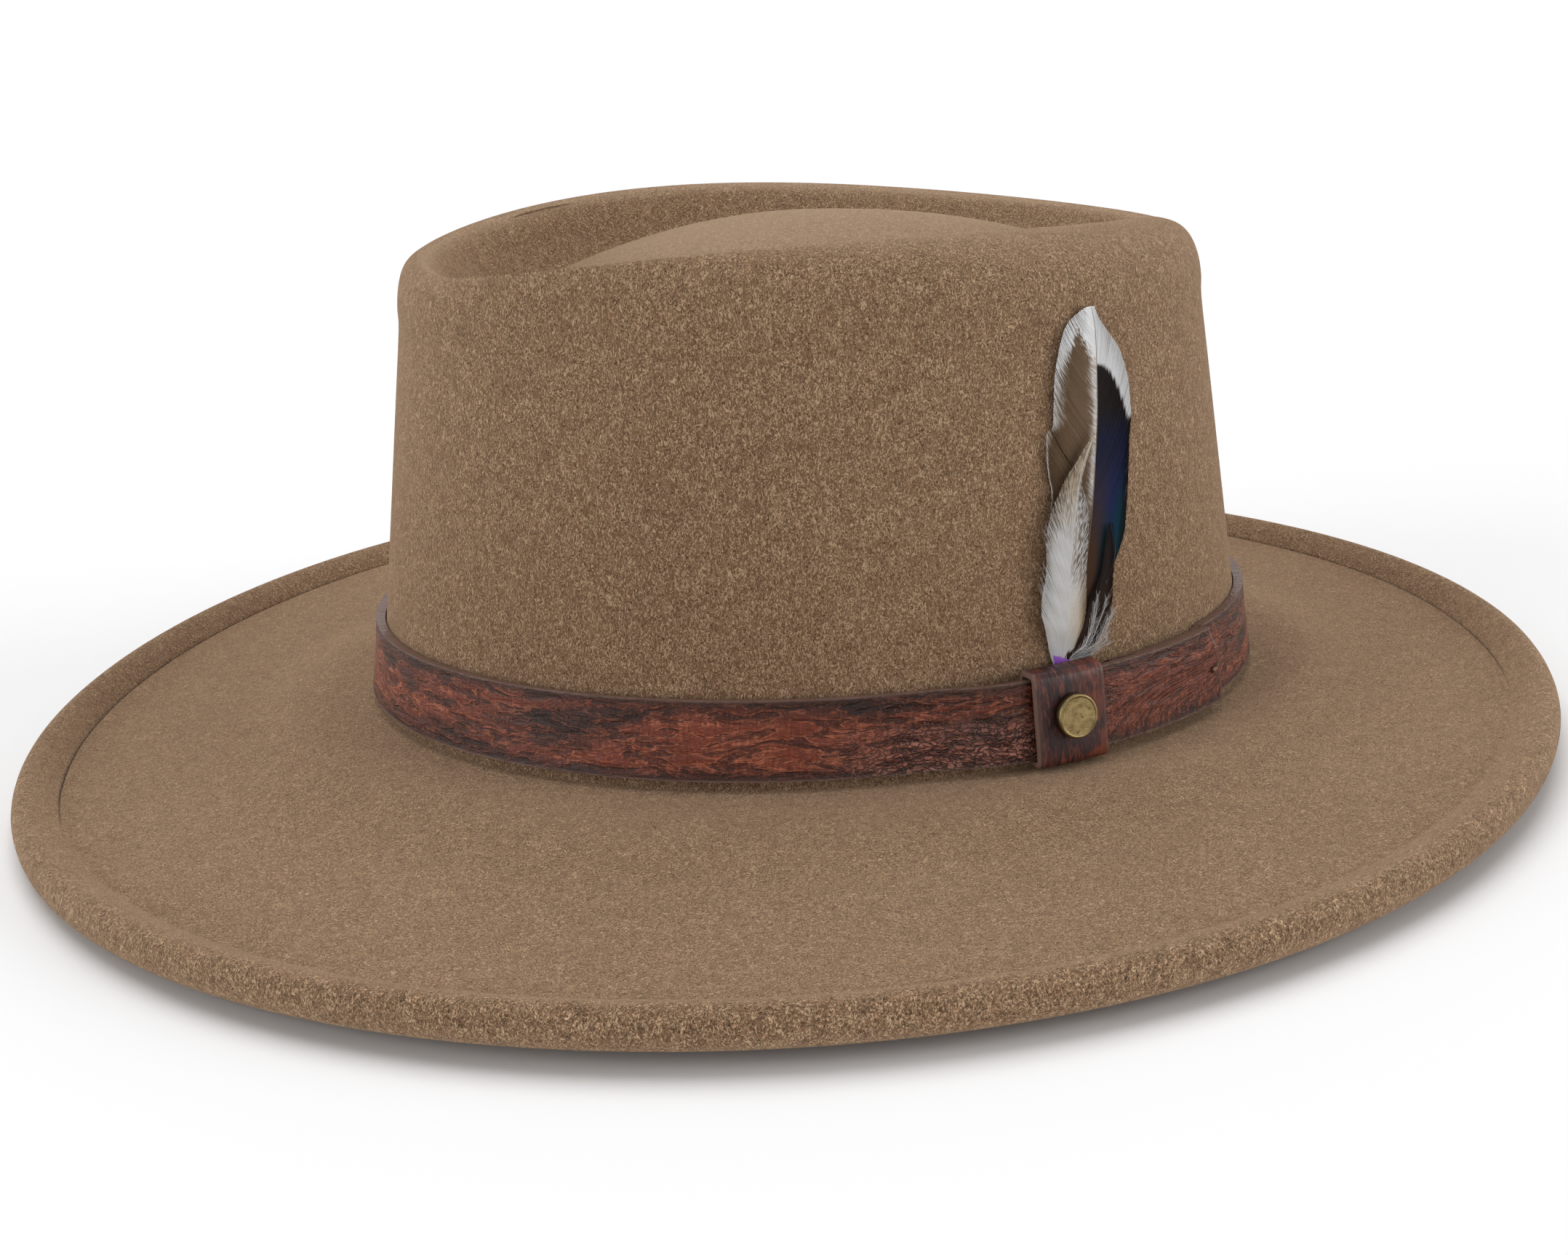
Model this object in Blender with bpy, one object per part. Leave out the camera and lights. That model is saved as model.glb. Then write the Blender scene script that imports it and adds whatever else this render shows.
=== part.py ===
"""Wide-brim felt fedora: felt body, leather band and keeper, stud, feathers, sweatband and lining.

Metres, +Z up. The hat stands on its brim: z = 0 is the lowest line of the brim's edge, and the origin
is the middle of the brim. -X is the front of the hat and -Y the wearer's left, where the trim sits.
"""
import math

import bmesh
import bpy
from mathutils import Vector

# ---- driving dimensions -------------------------------------------------------------------------
HEAD_X = 0.1035            # half length of the crown's foot, outside the felt
HEAD_Y = 0.0855            # half width of the crown's foot
TAPER_X = 0.13             # how fast the half length shrinks with height
TAPER_Y = 0.12
LEAN = math.radians(1.21)       # the crown leans back over the brim
LEAN_SIDE = math.radians(0.36)  # and a little to the wearer's right
HEAD_SHIFT = 0.0072        # the crown sits behind the middle of the brim
HEAD_LIFT = 0.01390        # the crown's foot above the floor

FELT = 0.0024              # felt thickness
WALL_TOP = 0.084           # where the straight crown wall ends
RIM_FRONT = 0.0867         # rim crest, forward of the head axis (the round end)
RIM_BACK = 0.0838          # rim crest, behind it (the pointed end)
RIM_SIDE = 0.0645
RIM_EGG = 0.26             # how much narrower the rim is towards the back
RIM_END_Z = 0.0998         # crest height at the ends, and how much more it has at the sides
RIM_SIDE_RISE = 0.0063
RIM_SKEW = 0.0024          # the sides are highest towards the front
RIM_TILT = 0.0028          # the left side's crest is creased lower at the front and higher at the back
SHOULDER_POWER = 2.5       # 2 is an elliptical shoulder, more is squarer
DOME_X = 0.005             # top of the dome, behind the head axis
DOME_Z = 0.1054
MOAT_INSET = 0.0135        # from the crest to the bottom of the moat
MOAT_DEPTH_FRONT = 0.0145
MOAT_DEPTH_BACK = 0.0060

FOOT_Z = -0.0022           # brim height at the crown's foot, in the crown's own frame
BRIM_X = 0.1701            # half length and half width of the brim at the stitched crease
BRIM_Y = 0.1680
BRIM_SKEW = 0.009          # the brim's outline is a little oblique
CREASE_Z = 0.00683         # mean height of the crease over the floor
CREASE_WAVES = (           # the brim's soft waves: (turns round the hat, size, where it is highest)
    (2, 0.00128, math.radians(110.0)),
    (3, 0.00095, 0.0),
)
BRIM_HUMP = 0.0016         # soft roll of the brim just outside the band

BAND_LOW = 0.0002
BAND_HIGH = 0.0172
BAND_T = 0.0022            # leather thickness of the band
BAND_OFF = 0.0003          # gap between felt and band
LAP_OFF = 0.0028           # the band stands this far off where it passes through the keeper
STUD_ANGLE = -66.2         # place of the keeper and stud on the crown, in degrees
BAND_TIP_ANGLE = -39.0     # where the lapped free end stops
LAP_START_ANGLE = -57.8    # where the other end begins, under the free end
KEEPER_W = 0.017
STUD_R = 0.00475
STUD_H = 0.0084            # height of the stud's centre on the crown wall
POST_R = 0.0012

SWEAT_HIGH = 0.036
SWEAT_T = 0.0010
REED_R = 0.0010
LINING_HIGH = 0.0760

STEPS = 60                 # steps round the hat
UP = Vector((0.0, 0.0, 1.0))

# ---- materials ----------------------------------------------------------------------------------
MATERIALS = {
    "felt": ((0.230, 0.136, 0.074), 0.95, 0.0),
    "thread": ((0.085, 0.045, 0.026), 0.80, 0.0),
    "band_leather": ((0.082, 0.022, 0.014), 0.42, 0.0),
    "keeper_leather": ((0.050, 0.020, 0.018), 0.50, 0.0),
    "brass": ((0.42, 0.29, 0.11), 0.38, 1.0),
    "sweat_leather": ((0.16, 0.075, 0.035), 0.55, 0.0),
    "satin": ((0.050, 0.030, 0.022), 0.35, 0.0),
    "label": ((0.70, 0.66, 0.58), 0.60, 0.0),
    "feather_light": ((0.70, 0.68, 0.64), 0.70, 0.0),
    "feather_dark": ((0.030, 0.022, 0.018), 0.45, 0.0),
    "tape": ((0.22, 0.06, 0.36), 0.60, 0.0),
    "reed": ((0.60, 0.58, 0.52), 0.50, 0.0),
}


def material(name):
    """One Principled material for each kind of surface."""
    found = bpy.data.materials.get(name)
    if found:
        return found
    colour, rough, metal = MATERIALS[name]
    made = bpy.data.materials.new(name)
    made.use_nodes = True
    shader = made.node_tree.nodes["Principled BSDF"]
    shader.inputs["Base Color"].default_value = (*colour, 1.0)
    shader.inputs["Roughness"].default_value = rough
    shader.inputs["Metallic"].default_value = metal
    made.diffuse_color = (*colour, 1.0)
    return made


# ---- mesh helpers -------------------------------------------------------------------------------
def skin(name, rings, finish, loop=False, pivot=None):
    """Join rings of points into one closed solid. A ring of one point is a pole."""
    mesh = bmesh.new()
    rows = [[mesh.verts.new(point) for point in ring] for ring in rings]
    pairs = list(zip(rows, rows[1:]))
    if loop:
        pairs.append((rows[-1], rows[0]))
    for low, high in pairs:
        count = max(len(low), len(high))
        for i in range(count):
            j = (i + 1) % count
            corners = [low[i % len(low)], low[j % len(low)], high[j % len(high)], high[i % len(high)]]
            face = list(dict.fromkeys(corners))
            mesh.faces.new(face)
    if not loop:
        for end in (rows[0], rows[-1]):
            if len(end) > 2:
                mesh.faces.new(end)
    bmesh.ops.recalc_face_normals(mesh, faces=mesh.faces)
    data = bpy.data.meshes.new(name)
    mesh.to_mesh(data)
    mesh.free()
    piece = bpy.data.objects.new(name, data)
    bpy.context.collection.objects.link(piece)
    data.materials.append(material(finish))
    data.shade_smooth()
    data.set_sharp_from_angle(angle=math.radians(40.0))
    if pivot is not None:
        piece.location = pivot
        for vertex in data.vertices:
            vertex.co -= pivot
    return piece


def ease(value):
    """0 to 1 with flat ends."""
    value = min(max(value, 0.0), 1.0)
    return value * value * (3.0 - 2.0 * value)


def angles(count=STEPS):
    return [2.0 * math.pi * i / count for i in range(count)]


# ---- the crown's frame --------------------------------------------------------------------------
def crown(x, y, z):
    """From the crown's frame, with its foot at z = 0, to the hat's frame."""
    side = math.cos(LEAN_SIDE) * y + math.sin(LEAN_SIDE) * z
    rise = -math.sin(LEAN_SIDE) * y + math.cos(LEAN_SIDE) * z
    return Vector((math.cos(LEAN) * x + math.sin(LEAN) * rise + HEAD_SHIFT, side,
                   -math.sin(LEAN) * x + math.cos(LEAN) * rise + HEAD_LIFT))


def crown_direction(x, y, z):
    return (crown(x, y, z) - crown(0.0, 0.0, 0.0)).normalized()


def wall(angle, height, off=0.0):
    """A point on the crown's wall, a distance off its outer face."""
    return crown((HEAD_X - TAPER_X * height + off) * math.cos(angle),
                 (HEAD_Y - TAPER_Y * height + off) * math.sin(angle), height)


def wall_ring(height, off, count=STEPS):
    return [wall(angle, height, off) for angle in angles(count)]


def wall_tube(name, height, off, radius, finish, sides):
    """A round cord that follows the crown's wall."""
    rings = []
    for angle in angles():
        ring = []
        for k in range(sides):
            turn = 2.0 * math.pi * k / sides
            ring.append(wall(angle, height + radius * math.sin(turn), off + radius * math.cos(turn)))
        rings.append(ring)
    return skin(name, rings, finish, loop=True)


# ---- felt body ----------------------------------------------------------------------------------
def rim_crest(angle, tilt=RIM_TILT):
    """The crest of the teardrop rim, in the crown's frame. Angle 0 is the pointed back."""
    middle = (RIM_BACK - RIM_FRONT) / 2.0
    half = (RIM_BACK + RIM_FRONT) / 2.0
    side = math.sin(angle)
    x = middle + half * math.cos(angle)
    y = RIM_SIDE * side * (1.0 - RIM_EGG * math.cos(angle))
    rise = side * side * (RIM_SIDE_RISE - RIM_SKEW * math.cos(angle))
    rise += tilt * math.cos(angle) * ease(-side / 0.5)
    return Vector((x, y, RIM_END_Z + rise))


def moat_bottom(angle):
    """The bottom of the moat between the rim and the dome."""
    crest = rim_crest(angle, 0.0)
    reach = Vector((crest.x - DOME_X, crest.y, 0.0))
    share = 1.0 - MOAT_INSET / reach.length
    back = 0.5 + 0.5 * math.cos(angle)
    depth = MOAT_DEPTH_FRONT + (MOAT_DEPTH_BACK - MOAT_DEPTH_FRONT) * back ** 2
    return Vector((DOME_X + reach.x * share, reach.y * share, crest.z - depth))


def crown_rows(angle):
    """Points of the crown's outer face from beside the dome's top down to its foot."""
    crest = rim_crest(angle)
    low = moat_bottom(angle)
    rows = []
    for reach in (0.28, 0.54, 0.77, 0.93):
        height = low.z + (DOME_Z - low.z) * (1.0 - reach ** 2) ** 1.05
        rows.append(crown(DOME_X + (low.x - DOME_X) * reach, low.y * reach, height))
    rows.append(crown(*(low + 0.0004 * UP)))
    for share, drop in ((0.40, 0.62), (0.74, 0.17)):
        point = low.lerp(crest, share)
        point.z = crest.z - (crest.z - low.z) * drop
        rows.append(crown(*point))
    rows.append(crown(*crest))
    shoulder = Vector(((HEAD_X - TAPER_X * WALL_TOP) * math.cos(angle),
                       (HEAD_Y - TAPER_Y * WALL_TOP) * math.sin(angle), WALL_TOP))
    for turn in (math.radians(66.0), math.radians(45.0), math.radians(22.0)):
        inward = 1.0 - math.cos(turn) ** (2.0 / SHOULDER_POWER)
        point = shoulder.lerp(crest, inward)
        point.z = shoulder.z + (crest.z - shoulder.z) * math.sin(turn) ** (2.0 / SHOULDER_POWER)
        rows.append(crown(*point))
    for height in (WALL_TOP, 0.056, 0.028, -0.0006):
        rows.append(wall(angle, height))
    return rows


def crease(angle):
    """The stitched crease that runs all round the brim, inside its turned edge."""
    height = CREASE_Z
    for turns, size, top in CREASE_WAVES:
        height += size * math.cos(turns * (angle - top))
    reach = 1.0 + BRIM_SKEW * math.sin(2.0 * angle)
    return Vector((BRIM_X * math.cos(angle) * reach, BRIM_Y * math.sin(angle) * reach, height))


def brim_point(angle, share):
    """A point on the brim's upper face: share 0 is at the crown's foot, 1 at the crease."""
    foot = wall(angle, FOOT_Z, 0.0008)
    edge = crease(angle)
    point = foot.lerp(edge, share)
    fall = 1.0 - (1.0 - share) ** 1.35
    hump = BRIM_HUMP * math.sin(math.pi * min(share / 0.5, 1.0)) ** 2
    point.z = foot.z + (edge.z - foot.z) * fall + hump
    return point


def welt_rows(angle):
    """The turned edge, from the stitched groove over the roll to the raw edge underneath."""
    base = crease(angle)
    outward = Vector((math.cos(angle), math.sin(angle), 0.0))
    section = ((-0.0007, -0.0007), (0.0007, -0.0007), (0.0014, 0.0010), (0.0036, 0.0031),
               (0.0066, 0.0042), (0.0088, 0.0035), (0.0100, 0.0008), (0.0096, -0.0022),
               (0.0082, -0.0041), (0.0062, -0.0048), (0.0028, -0.0048), (-0.0032, -0.0046),
               (-0.0034, -0.0029))
    return [base + outward * out + UP * rise for out, rise in section]


def felt_body():
    """Crown and brim in one piece of felt, with the brim's edge turned under."""
    rows = []
    for angle in angles():
        line = crown_rows(angle)
        line += [brim_point(angle, share) for share in (0.0, 0.09, 0.20, 0.36, 0.56, 0.78, 0.955)]
        rows.append(line)
    outer = [list(ring) for ring in zip(*rows)]
    welt = [list(ring) for ring in zip(*[welt_rows(angle) for angle in angles()])]
    top = crown(DOME_X, 0.0, DOME_Z)
    inner = []
    for i, ring in enumerate(outer):
        before = outer[i - 1] if i else [top] * STEPS
        after = outer[i + 1] if i + 1 < len(outer) else welt[0]
        under = []
        for j, point in enumerate(ring):
            down = after[j] - before[j]
            across = ring[(j + 1) % STEPS] - ring[j - 1]
            normal = down.cross(across).normalized()
            under.append(point - normal * FELT)
        inner.append(under)
    inner[-1] = [Vector((p.x, p.y, q.z - FELT)) for p, q in zip(inner[-1], outer[-1])]
    rings = [[top]] + outer + welt + inner[::-1] + [[top - UP * FELT]]
    return skin("felt_body", rings, "felt")


def welt_stitching():
    """The ring of thread that lies in the groove."""
    rings = []
    for angle in angles():
        middle = crease(angle) + UP * 0.0003
        outward = Vector((math.cos(angle), math.sin(angle), 0.0))
        turns = [math.radians(72.0 * k) for k in range(5)]
        rings.append([middle + 0.0004 * (outward * math.cos(t) + UP * math.sin(t)) for t in turns])
    return skin("welt_stitching", rings, "thread", loop=True)


# ---- leather band -------------------------------------------------------------------------------
def band_offset(degrees):
    """How far the band's inner face stands off the felt, for its last part and its free end."""
    return BAND_OFF + (LAP_OFF - BAND_OFF) * ease((degrees - (STUD_ANGLE - 16.5)) / 8.5)


def band_section(angle, off, thick):
    """The band's cross-section: a slightly hollow face with rounded edges."""
    soft = 0.0005
    middle = (BAND_LOW + BAND_HIGH) / 2.0
    outline = ((off, BAND_LOW + soft), (off, BAND_HIGH - soft), (off + thick * 0.3, BAND_HIGH),
               (off + thick * 0.75, BAND_HIGH), (off + thick, BAND_HIGH - soft),
               (off + thick - 0.0002, middle), (off + thick, BAND_LOW + soft),
               (off + thick * 0.75, BAND_LOW), (off + thick * 0.3, BAND_LOW))
    return [wall(angle, height, depth) for depth, height in outline]


def hat_band():
    """One strap right round the crown, its free end lapped over its other end."""
    stations = 80
    rings = []
    for i in range(stations + 1):
        degrees = LAP_START_ANGLE + (360.0 + BAND_TIP_ANGLE - LAP_START_ANGLE) * i / stations
        start = ease((degrees - LAP_START_ANGLE) / 8.0)
        thick = 0.001 + (BAND_T - 0.001) * start
        off = band_offset(degrees - 360.0) if degrees > 180.0 else BAND_OFF
        rings.append(band_section(math.radians(degrees), off, thick))
    return skin("hat_band", rings, "band_leather")


# ---- the trim's frame ---------------------------------------------------------------------------
def trim_point(along, off, height):
    """A point beside the stud: along the band, off the felt, and up the wall."""
    angle = math.radians(STUD_ANGLE)
    origin = wall(angle, height)
    a, b = HEAD_X, HEAD_Y
    tangent = crown_direction(-a * math.sin(angle), b * math.cos(angle), 0.0)
    normal = crown_direction(b * math.cos(angle), a * math.sin(angle), 0.0)
    return origin + tangent * along + normal * (off - along * along / (2.0 * trim_radius()))


def trim_radius():
    """Radius of the crown's outline at the stud."""
    angle = math.radians(STUD_ANGLE)
    square = (HEAD_X * math.sin(angle)) ** 2 + (HEAD_Y * math.cos(angle)) ** 2
    return square ** 1.5 / (HEAD_X * HEAD_Y)


def band_tack():
    """The small stitch that holds the lapped end down."""
    angle = math.radians(BAND_TIP_ANGLE - 2.4)
    rings = []
    for height in (0.0075, 0.0078, 0.0102, 0.0105):
        radius = 0.00015 if height in (0.0075, 0.0105) else 0.00035
        ring = []
        for k in range(6):
            turn = math.radians(60.0 * k)
            side = radius * math.cos(turn) / HEAD_X
            ring.append(wall(angle + side, height, LAP_OFF + BAND_T + 0.0007 + radius * math.sin(turn)))
        rings.append(ring)
    return skin("band_tack", rings, "thread")


# ---- keeper and stud ----------------------------------------------------------------------------
def keeper_loop():
    """Leather loop round the band. Its ends meet behind it."""
    outside = ((0.0016, 0.0088), (0.0016, 0.0004), (0.0020, -0.0006), (0.0030, -0.0013),
               (0.0058, -0.0013), (0.0069, -0.0007), (0.0074, 0.0008), (0.0074, 0.0167),
               (0.0069, 0.0182), (0.0058, 0.0189), (0.0030, 0.0189), (0.0020, 0.0182),
               (0.0016, 0.0170), (0.0016, 0.0094))
    inside = ((0.0025, 0.0094), (0.0025, 0.0168), (0.0027, 0.0174), (0.0031, 0.0176),
              (0.0055, 0.0176), (0.0058, 0.0173), (0.0060, 0.0166), (0.0060, 0.0010),
              (0.0058, 0.0002), (0.0055, -0.0001), (0.0031, -0.0001), (0.0027, 0.0000),
              (0.0025, 0.0006), (0.0025, 0.0088))
    rings = []
    for i in range(7):
        along = KEEPER_W * (i / 6.0 - 0.5)
        rings.append([trim_point(along, off, height) for off, height in outside + inside])
    loop = skin("keeper_loop", rings, "keeper_leather")
    drill = skin("stud_hole", stud_rings(((0.0015, 0.0057), (0.0015, 0.0080)), 20), "brass")
    drill.hide_render = True
    drill.display_type = "WIRE"
    cut = loop.modifiers.new("stud_hole", "BOOLEAN")
    cut.object = drill
    cut.operation = "DIFFERENCE"
    return loop


def stud_rings(profile, steps=24):
    """Rings of a piece turned about the stud's axis, from (radius, distance off the felt)."""
    height_step = 0.001
    middle = trim_point(0.0, 0.0, STUD_H)
    upward = (trim_point(0.0, 0.0, STUD_H + height_step) - middle).normalized()
    tangent = (trim_point(height_step, 0.0, STUD_H) - trim_point(-height_step, 0.0, STUD_H)).normalized()
    outward = tangent.cross(upward).normalized()
    rings = []
    for radius, off in profile:
        turns = [2.0 * math.pi * k / steps for k in range(steps)]
        centre = middle + outward * off
        rings.append([centre + radius * (tangent * math.cos(t) + upward * math.sin(t)) for t in turns])
    return rings


def stud():
    """Brass head, the post through the keeper, and the burr the post is closed on."""
    head = stud_rings(((0.0042, 0.0077), (0.0047, 0.0079), (STUD_R, 0.0084), (STUD_R, 0.0091),
                       (0.0045, 0.0096), (0.0041, 0.0096), (0.0038, 0.0093), (0.0020, 0.0095)))
    skin("stud_cap", head, "brass")
    post = stud_rings(((POST_R, 0.00535), (POST_R, 0.0074)), 16)
    skin("stud_post", post, "brass")
    burr = stud_rings(((0.0015, 0.0053), (0.0030, 0.0053), (0.0030, 0.0057), (0.0015, 0.0057)), 20)
    skin("stud_washer", burr, "brass", loop=True)


def keeper_staple():
    """Flat wire staple across the loop's meeting ends, behind it."""
    rings = []
    for height in (0.0072, 0.0110):
        rings.append([trim_point(along, off, height)
                      for along, off in ((-0.0074, 0.0008), (-0.0058, 0.0008), (-0.0058, 0.0013),
                                         (-0.0074, 0.0013))])
    return skin("keeper_staple", rings, "brass")


# ---- feathers -----------------------------------------------------------------------------------
def feather(name, finish, off, thick, stations):
    """A thin vane. Each station is (height, left edge, shaft, right edge) along the band."""
    rings = []
    for height, left, shaft, right in stations:
        front = [trim_point(left, off + thick * 0.7, height), trim_point(shaft, off + thick, height),
                 trim_point(right, off + thick * 0.7, height)]
        behind = [trim_point(right, off, height), trim_point(shaft, off, height),
                  trim_point(left, off, height)]
        rings.append(front + behind)
    return skin(name, rings, finish)


def feathers():
    """Four feathers whose quills are bound with tape and tucked behind the band."""
    feather("feather_speculum", "feather_light", 0.0006, 0.0006, (
        (0.0192, 0.0018, 0.0030, 0.0042), (0.0240, 0.0006, 0.0064, 0.0090),
        (0.0330, 0.0004, 0.0092, 0.0160), (0.0450, 0.0012, 0.0120, 0.0215),
        (0.0560, 0.0023, 0.0141, 0.0238), (0.0660, 0.0027, 0.0155, 0.0254),
        (0.0740, 0.0049, 0.0162, 0.0251), (0.0810, 0.0064, 0.0167, 0.0231),
        (0.0865, 0.0088, 0.0167, 0.0190), (0.0900, 0.0135, 0.0160, 0.0170)))
    feather("feather_dark", "feather_dark", 0.0015, 0.0006, (
        (0.0192, 0.0026, 0.0036, 0.0048), (0.0230, 0.0050, 0.0090, 0.0122),
        (0.0284, 0.0070, 0.0118, 0.0158), (0.0337, 0.0122, 0.0145, 0.0165),
        (0.0375, 0.0140, 0.0155, 0.0170), (0.0430, 0.0157, 0.0164, 0.0171),
        (0.0456, 0.0164, 0.0167, 0.0170)))
    feather("feather_flank", "feather_light", 0.0024, 0.0007, (
        (0.0192, 0.0004, 0.0024, 0.0042), (0.0240, -0.0012, 0.0026, 0.0060),
        (0.0300, -0.0026, 0.0030, 0.0073), (0.0360, -0.0014, 0.0040, 0.0081),
        (0.0460, -0.0001, 0.0060, 0.0102), (0.0540, 0.0036, 0.0070, 0.0094),
        (0.0600, 0.0086, 0.0096, 0.0106), (0.0650, 0.0134, 0.0137, 0.0140)))
    feather("feather_down", "feather_light", 0.0034, 0.0014, (
        (0.0190, 0.0040, 0.0066, 0.0090), (0.0215, 0.0060, 0.0092, 0.0118),
        (0.0262, 0.0085, 0.0110, 0.0135), (0.0300, 0.0104, 0.0116, 0.0130)))
    rings = []
    for height, left, right in ((0.0040, 0.0012, 0.0040), (0.0050, 0.0006, 0.0048),
                                (0.0178, 0.0004, 0.0048), (0.0188, 0.0010, 0.0042)):
        rings.append([trim_point(left, 0.0003, height), trim_point(left, 0.0012, height),
                      trim_point((left + right) / 2.0, 0.0013, height),
                      trim_point(right, 0.0012, height), trim_point(right, 0.0003, height)])
    skin("feather_binding", rings, "tape")


# ---- sweatband and lining -----------------------------------------------------------------------
REED_OFF = -FELT - 0.0003 - REED_R
REED_H = 0.0020


def sweatband():
    """Leather band inside the head opening, turned round the reed at its foot."""
    face = REED_OFF - REED_R - 0.0003
    section = [(-0.0034, SWEAT_HIGH), (-0.0034, 0.0075)]
    section += [(face, 0.0048), (face, REED_H - 0.0003), (REED_OFF, REED_H - 0.0014)]
    section += [(REED_OFF, REED_H - 0.0024), (face - SWEAT_T, REED_H - 0.0009)]
    section += [(face - SWEAT_T, 0.0054), (-0.0034 - SWEAT_T, 0.0092), (-0.0034 - SWEAT_T, SWEAT_HIGH)]
    rings = [[wall(angle, height, off) for off, height in section] for angle in angles()]
    return skin("sweatband", rings, "sweat_leather", loop=True)


def sweatband_bow():
    """Small ribbon bow over the sweatband's join, at the back."""
    outline = ((-0.0075, 0.0032), (-0.0040, 0.0034), (-0.0012, 0.0014), (0.0012, 0.0014),
               (0.0040, 0.0034), (0.0075, 0.0032), (0.0082, 0.0), (0.0075, -0.0032),
               (0.0040, -0.0034), (0.0012, -0.0014), (-0.0012, -0.0014), (-0.0040, -0.0034),
               (-0.0075, -0.0032), (-0.0082, 0.0))
    rings = []
    for off in (-0.0047, -0.0058):
        rings.append([wall(along / HEAD_Y, 0.0150 + rise, off) for along, rise in outline])
    return skin("sweatband_bow", rings, "satin")


def size_label():
    """Blank paper label on the sweatband's inner face."""
    rings = []
    for off in (-0.0047, -0.0050):
        ring = []
        for along, height in ((-0.009, 0.014), (-0.003, 0.014), (0.003, 0.014), (0.009, 0.014),
                              (0.009, 0.024), (0.003, 0.024), (-0.003, 0.024), (-0.009, 0.024)):
            ring.append(wall(math.radians(22.0) + along / HEAD_Y, height, off))
        rings.append(ring)
    return skin("size_label", rings, "label")


def lining():
    """Satin wall tucked behind the sweatband, a flat tip, and the piping between them."""
    section = [(-0.0028, 0.0260), (-0.0028, 0.0365), (-0.0040, 0.0500), (-0.0040, 0.0735)]
    thin = 0.0003
    section += [(off - thin, height) for off, height in section[::-1]]
    rings = [[wall(angle, height, off) for off, height in section] for angle in angles()]
    skin("lining_side", rings, "satin", loop=True)
    wall_tube("lining_piping", LINING_HIGH - 0.0010, -0.0052, 0.0010, "satin", 5)
    tip = [wall_ring(LINING_HIGH, -0.0068), wall_ring(LINING_HIGH + 0.0005, -0.0068)]
    tip.insert(0, [crown(0.0, 0.0, LINING_HIGH - 0.0006)])
    tip.append([crown(0.0, 0.0, LINING_HIGH + 0.0003)])
    skin("lining_tip", tip, "satin")


def build():
    for old in list(bpy.data.objects):
        bpy.data.objects.remove(old, do_unlink=True)
    felt_body()
    welt_stitching()
    hat_band()
    band_tack()
    keeper_loop()
    keeper_staple()
    stud()
    feathers()
    sweatband()
    wall_tube("sweatband_reed", REED_H, REED_OFF, REED_R, "reed", 6)
    wall_tube("sweatband_stitching", 0.0100, -0.0034 - SWEAT_T - 0.0006, 0.0003, "thread", 4)
    sweatband_bow()
    size_label()
    lining()


build()
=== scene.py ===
"""Looks of the wide-brim fedora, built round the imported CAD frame. Metres, +Z up, -X is the hat's front.

The fine meshes repeat the shape formulas of the CAD source, so that they lie where its solids lie.
"""
import math

import bmesh
import bpy
import numpy as np
from mathutils import Matrix, Vector, noise


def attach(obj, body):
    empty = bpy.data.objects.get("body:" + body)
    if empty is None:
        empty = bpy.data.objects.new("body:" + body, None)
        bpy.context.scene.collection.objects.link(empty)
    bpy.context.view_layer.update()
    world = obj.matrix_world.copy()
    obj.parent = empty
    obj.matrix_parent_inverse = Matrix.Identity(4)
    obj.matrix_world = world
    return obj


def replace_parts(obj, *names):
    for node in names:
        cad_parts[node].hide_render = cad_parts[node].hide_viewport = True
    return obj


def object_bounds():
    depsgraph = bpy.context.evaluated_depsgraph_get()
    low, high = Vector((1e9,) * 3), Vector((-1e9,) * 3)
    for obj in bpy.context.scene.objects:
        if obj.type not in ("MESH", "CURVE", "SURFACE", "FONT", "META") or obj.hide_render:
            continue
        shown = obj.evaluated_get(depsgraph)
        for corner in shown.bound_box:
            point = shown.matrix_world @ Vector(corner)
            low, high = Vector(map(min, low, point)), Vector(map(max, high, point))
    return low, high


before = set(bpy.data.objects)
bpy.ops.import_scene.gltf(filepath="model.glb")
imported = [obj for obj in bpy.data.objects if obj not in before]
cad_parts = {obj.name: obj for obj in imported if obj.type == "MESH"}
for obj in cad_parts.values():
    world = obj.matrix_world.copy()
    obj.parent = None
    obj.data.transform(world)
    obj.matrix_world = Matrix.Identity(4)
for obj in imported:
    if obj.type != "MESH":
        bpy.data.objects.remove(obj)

cad_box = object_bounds()

# ---- the hat's dimensions, as in the CAD source -------------------------------------------------
HEAD_X, HEAD_Y = 0.1035, 0.0855          # half axes of the crown's foot
TAPER_X, TAPER_Y = 0.13, 0.12
LEAN, LEAN_SIDE = math.radians(1.21), math.radians(0.36)
HEAD_SHIFT, HEAD_LIFT = 0.0072, 0.01390
FELT = 0.0024
WALL_TOP = 0.084
RIM_FRONT, RIM_BACK, RIM_SIDE, RIM_EGG = 0.0867, 0.0838, 0.0645, 0.26
RIM_END_Z, RIM_SIDE_RISE, RIM_SKEW, RIM_TILT = 0.0998, 0.0063, 0.0024, 0.0028
SHOULDER_POWER = 2.5
DOME_X, DOME_Z = 0.005, 0.1054
MOAT_INSET, MOAT_DEPTH_FRONT, MOAT_DEPTH_BACK = 0.0135, 0.0145, 0.0060
FOOT_Z = -0.0022
BRIM_X, BRIM_Y, BRIM_SKEW, BRIM_HUMP = 0.1701, 0.1680, 0.009, 0.0016
CREASE_Z = 0.00683
CREASE_WAVES = ((2, 0.00128, math.radians(110.0)), (3, 0.00095, 0.0))
BAND_LOW, BAND_HIGH, BAND_T, BAND_OFF, LAP_OFF = 0.0002, 0.0172, 0.0022, 0.0003, 0.0028
STUD_ANGLE, LAP_START_ANGLE = -66.2, -57.8
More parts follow.
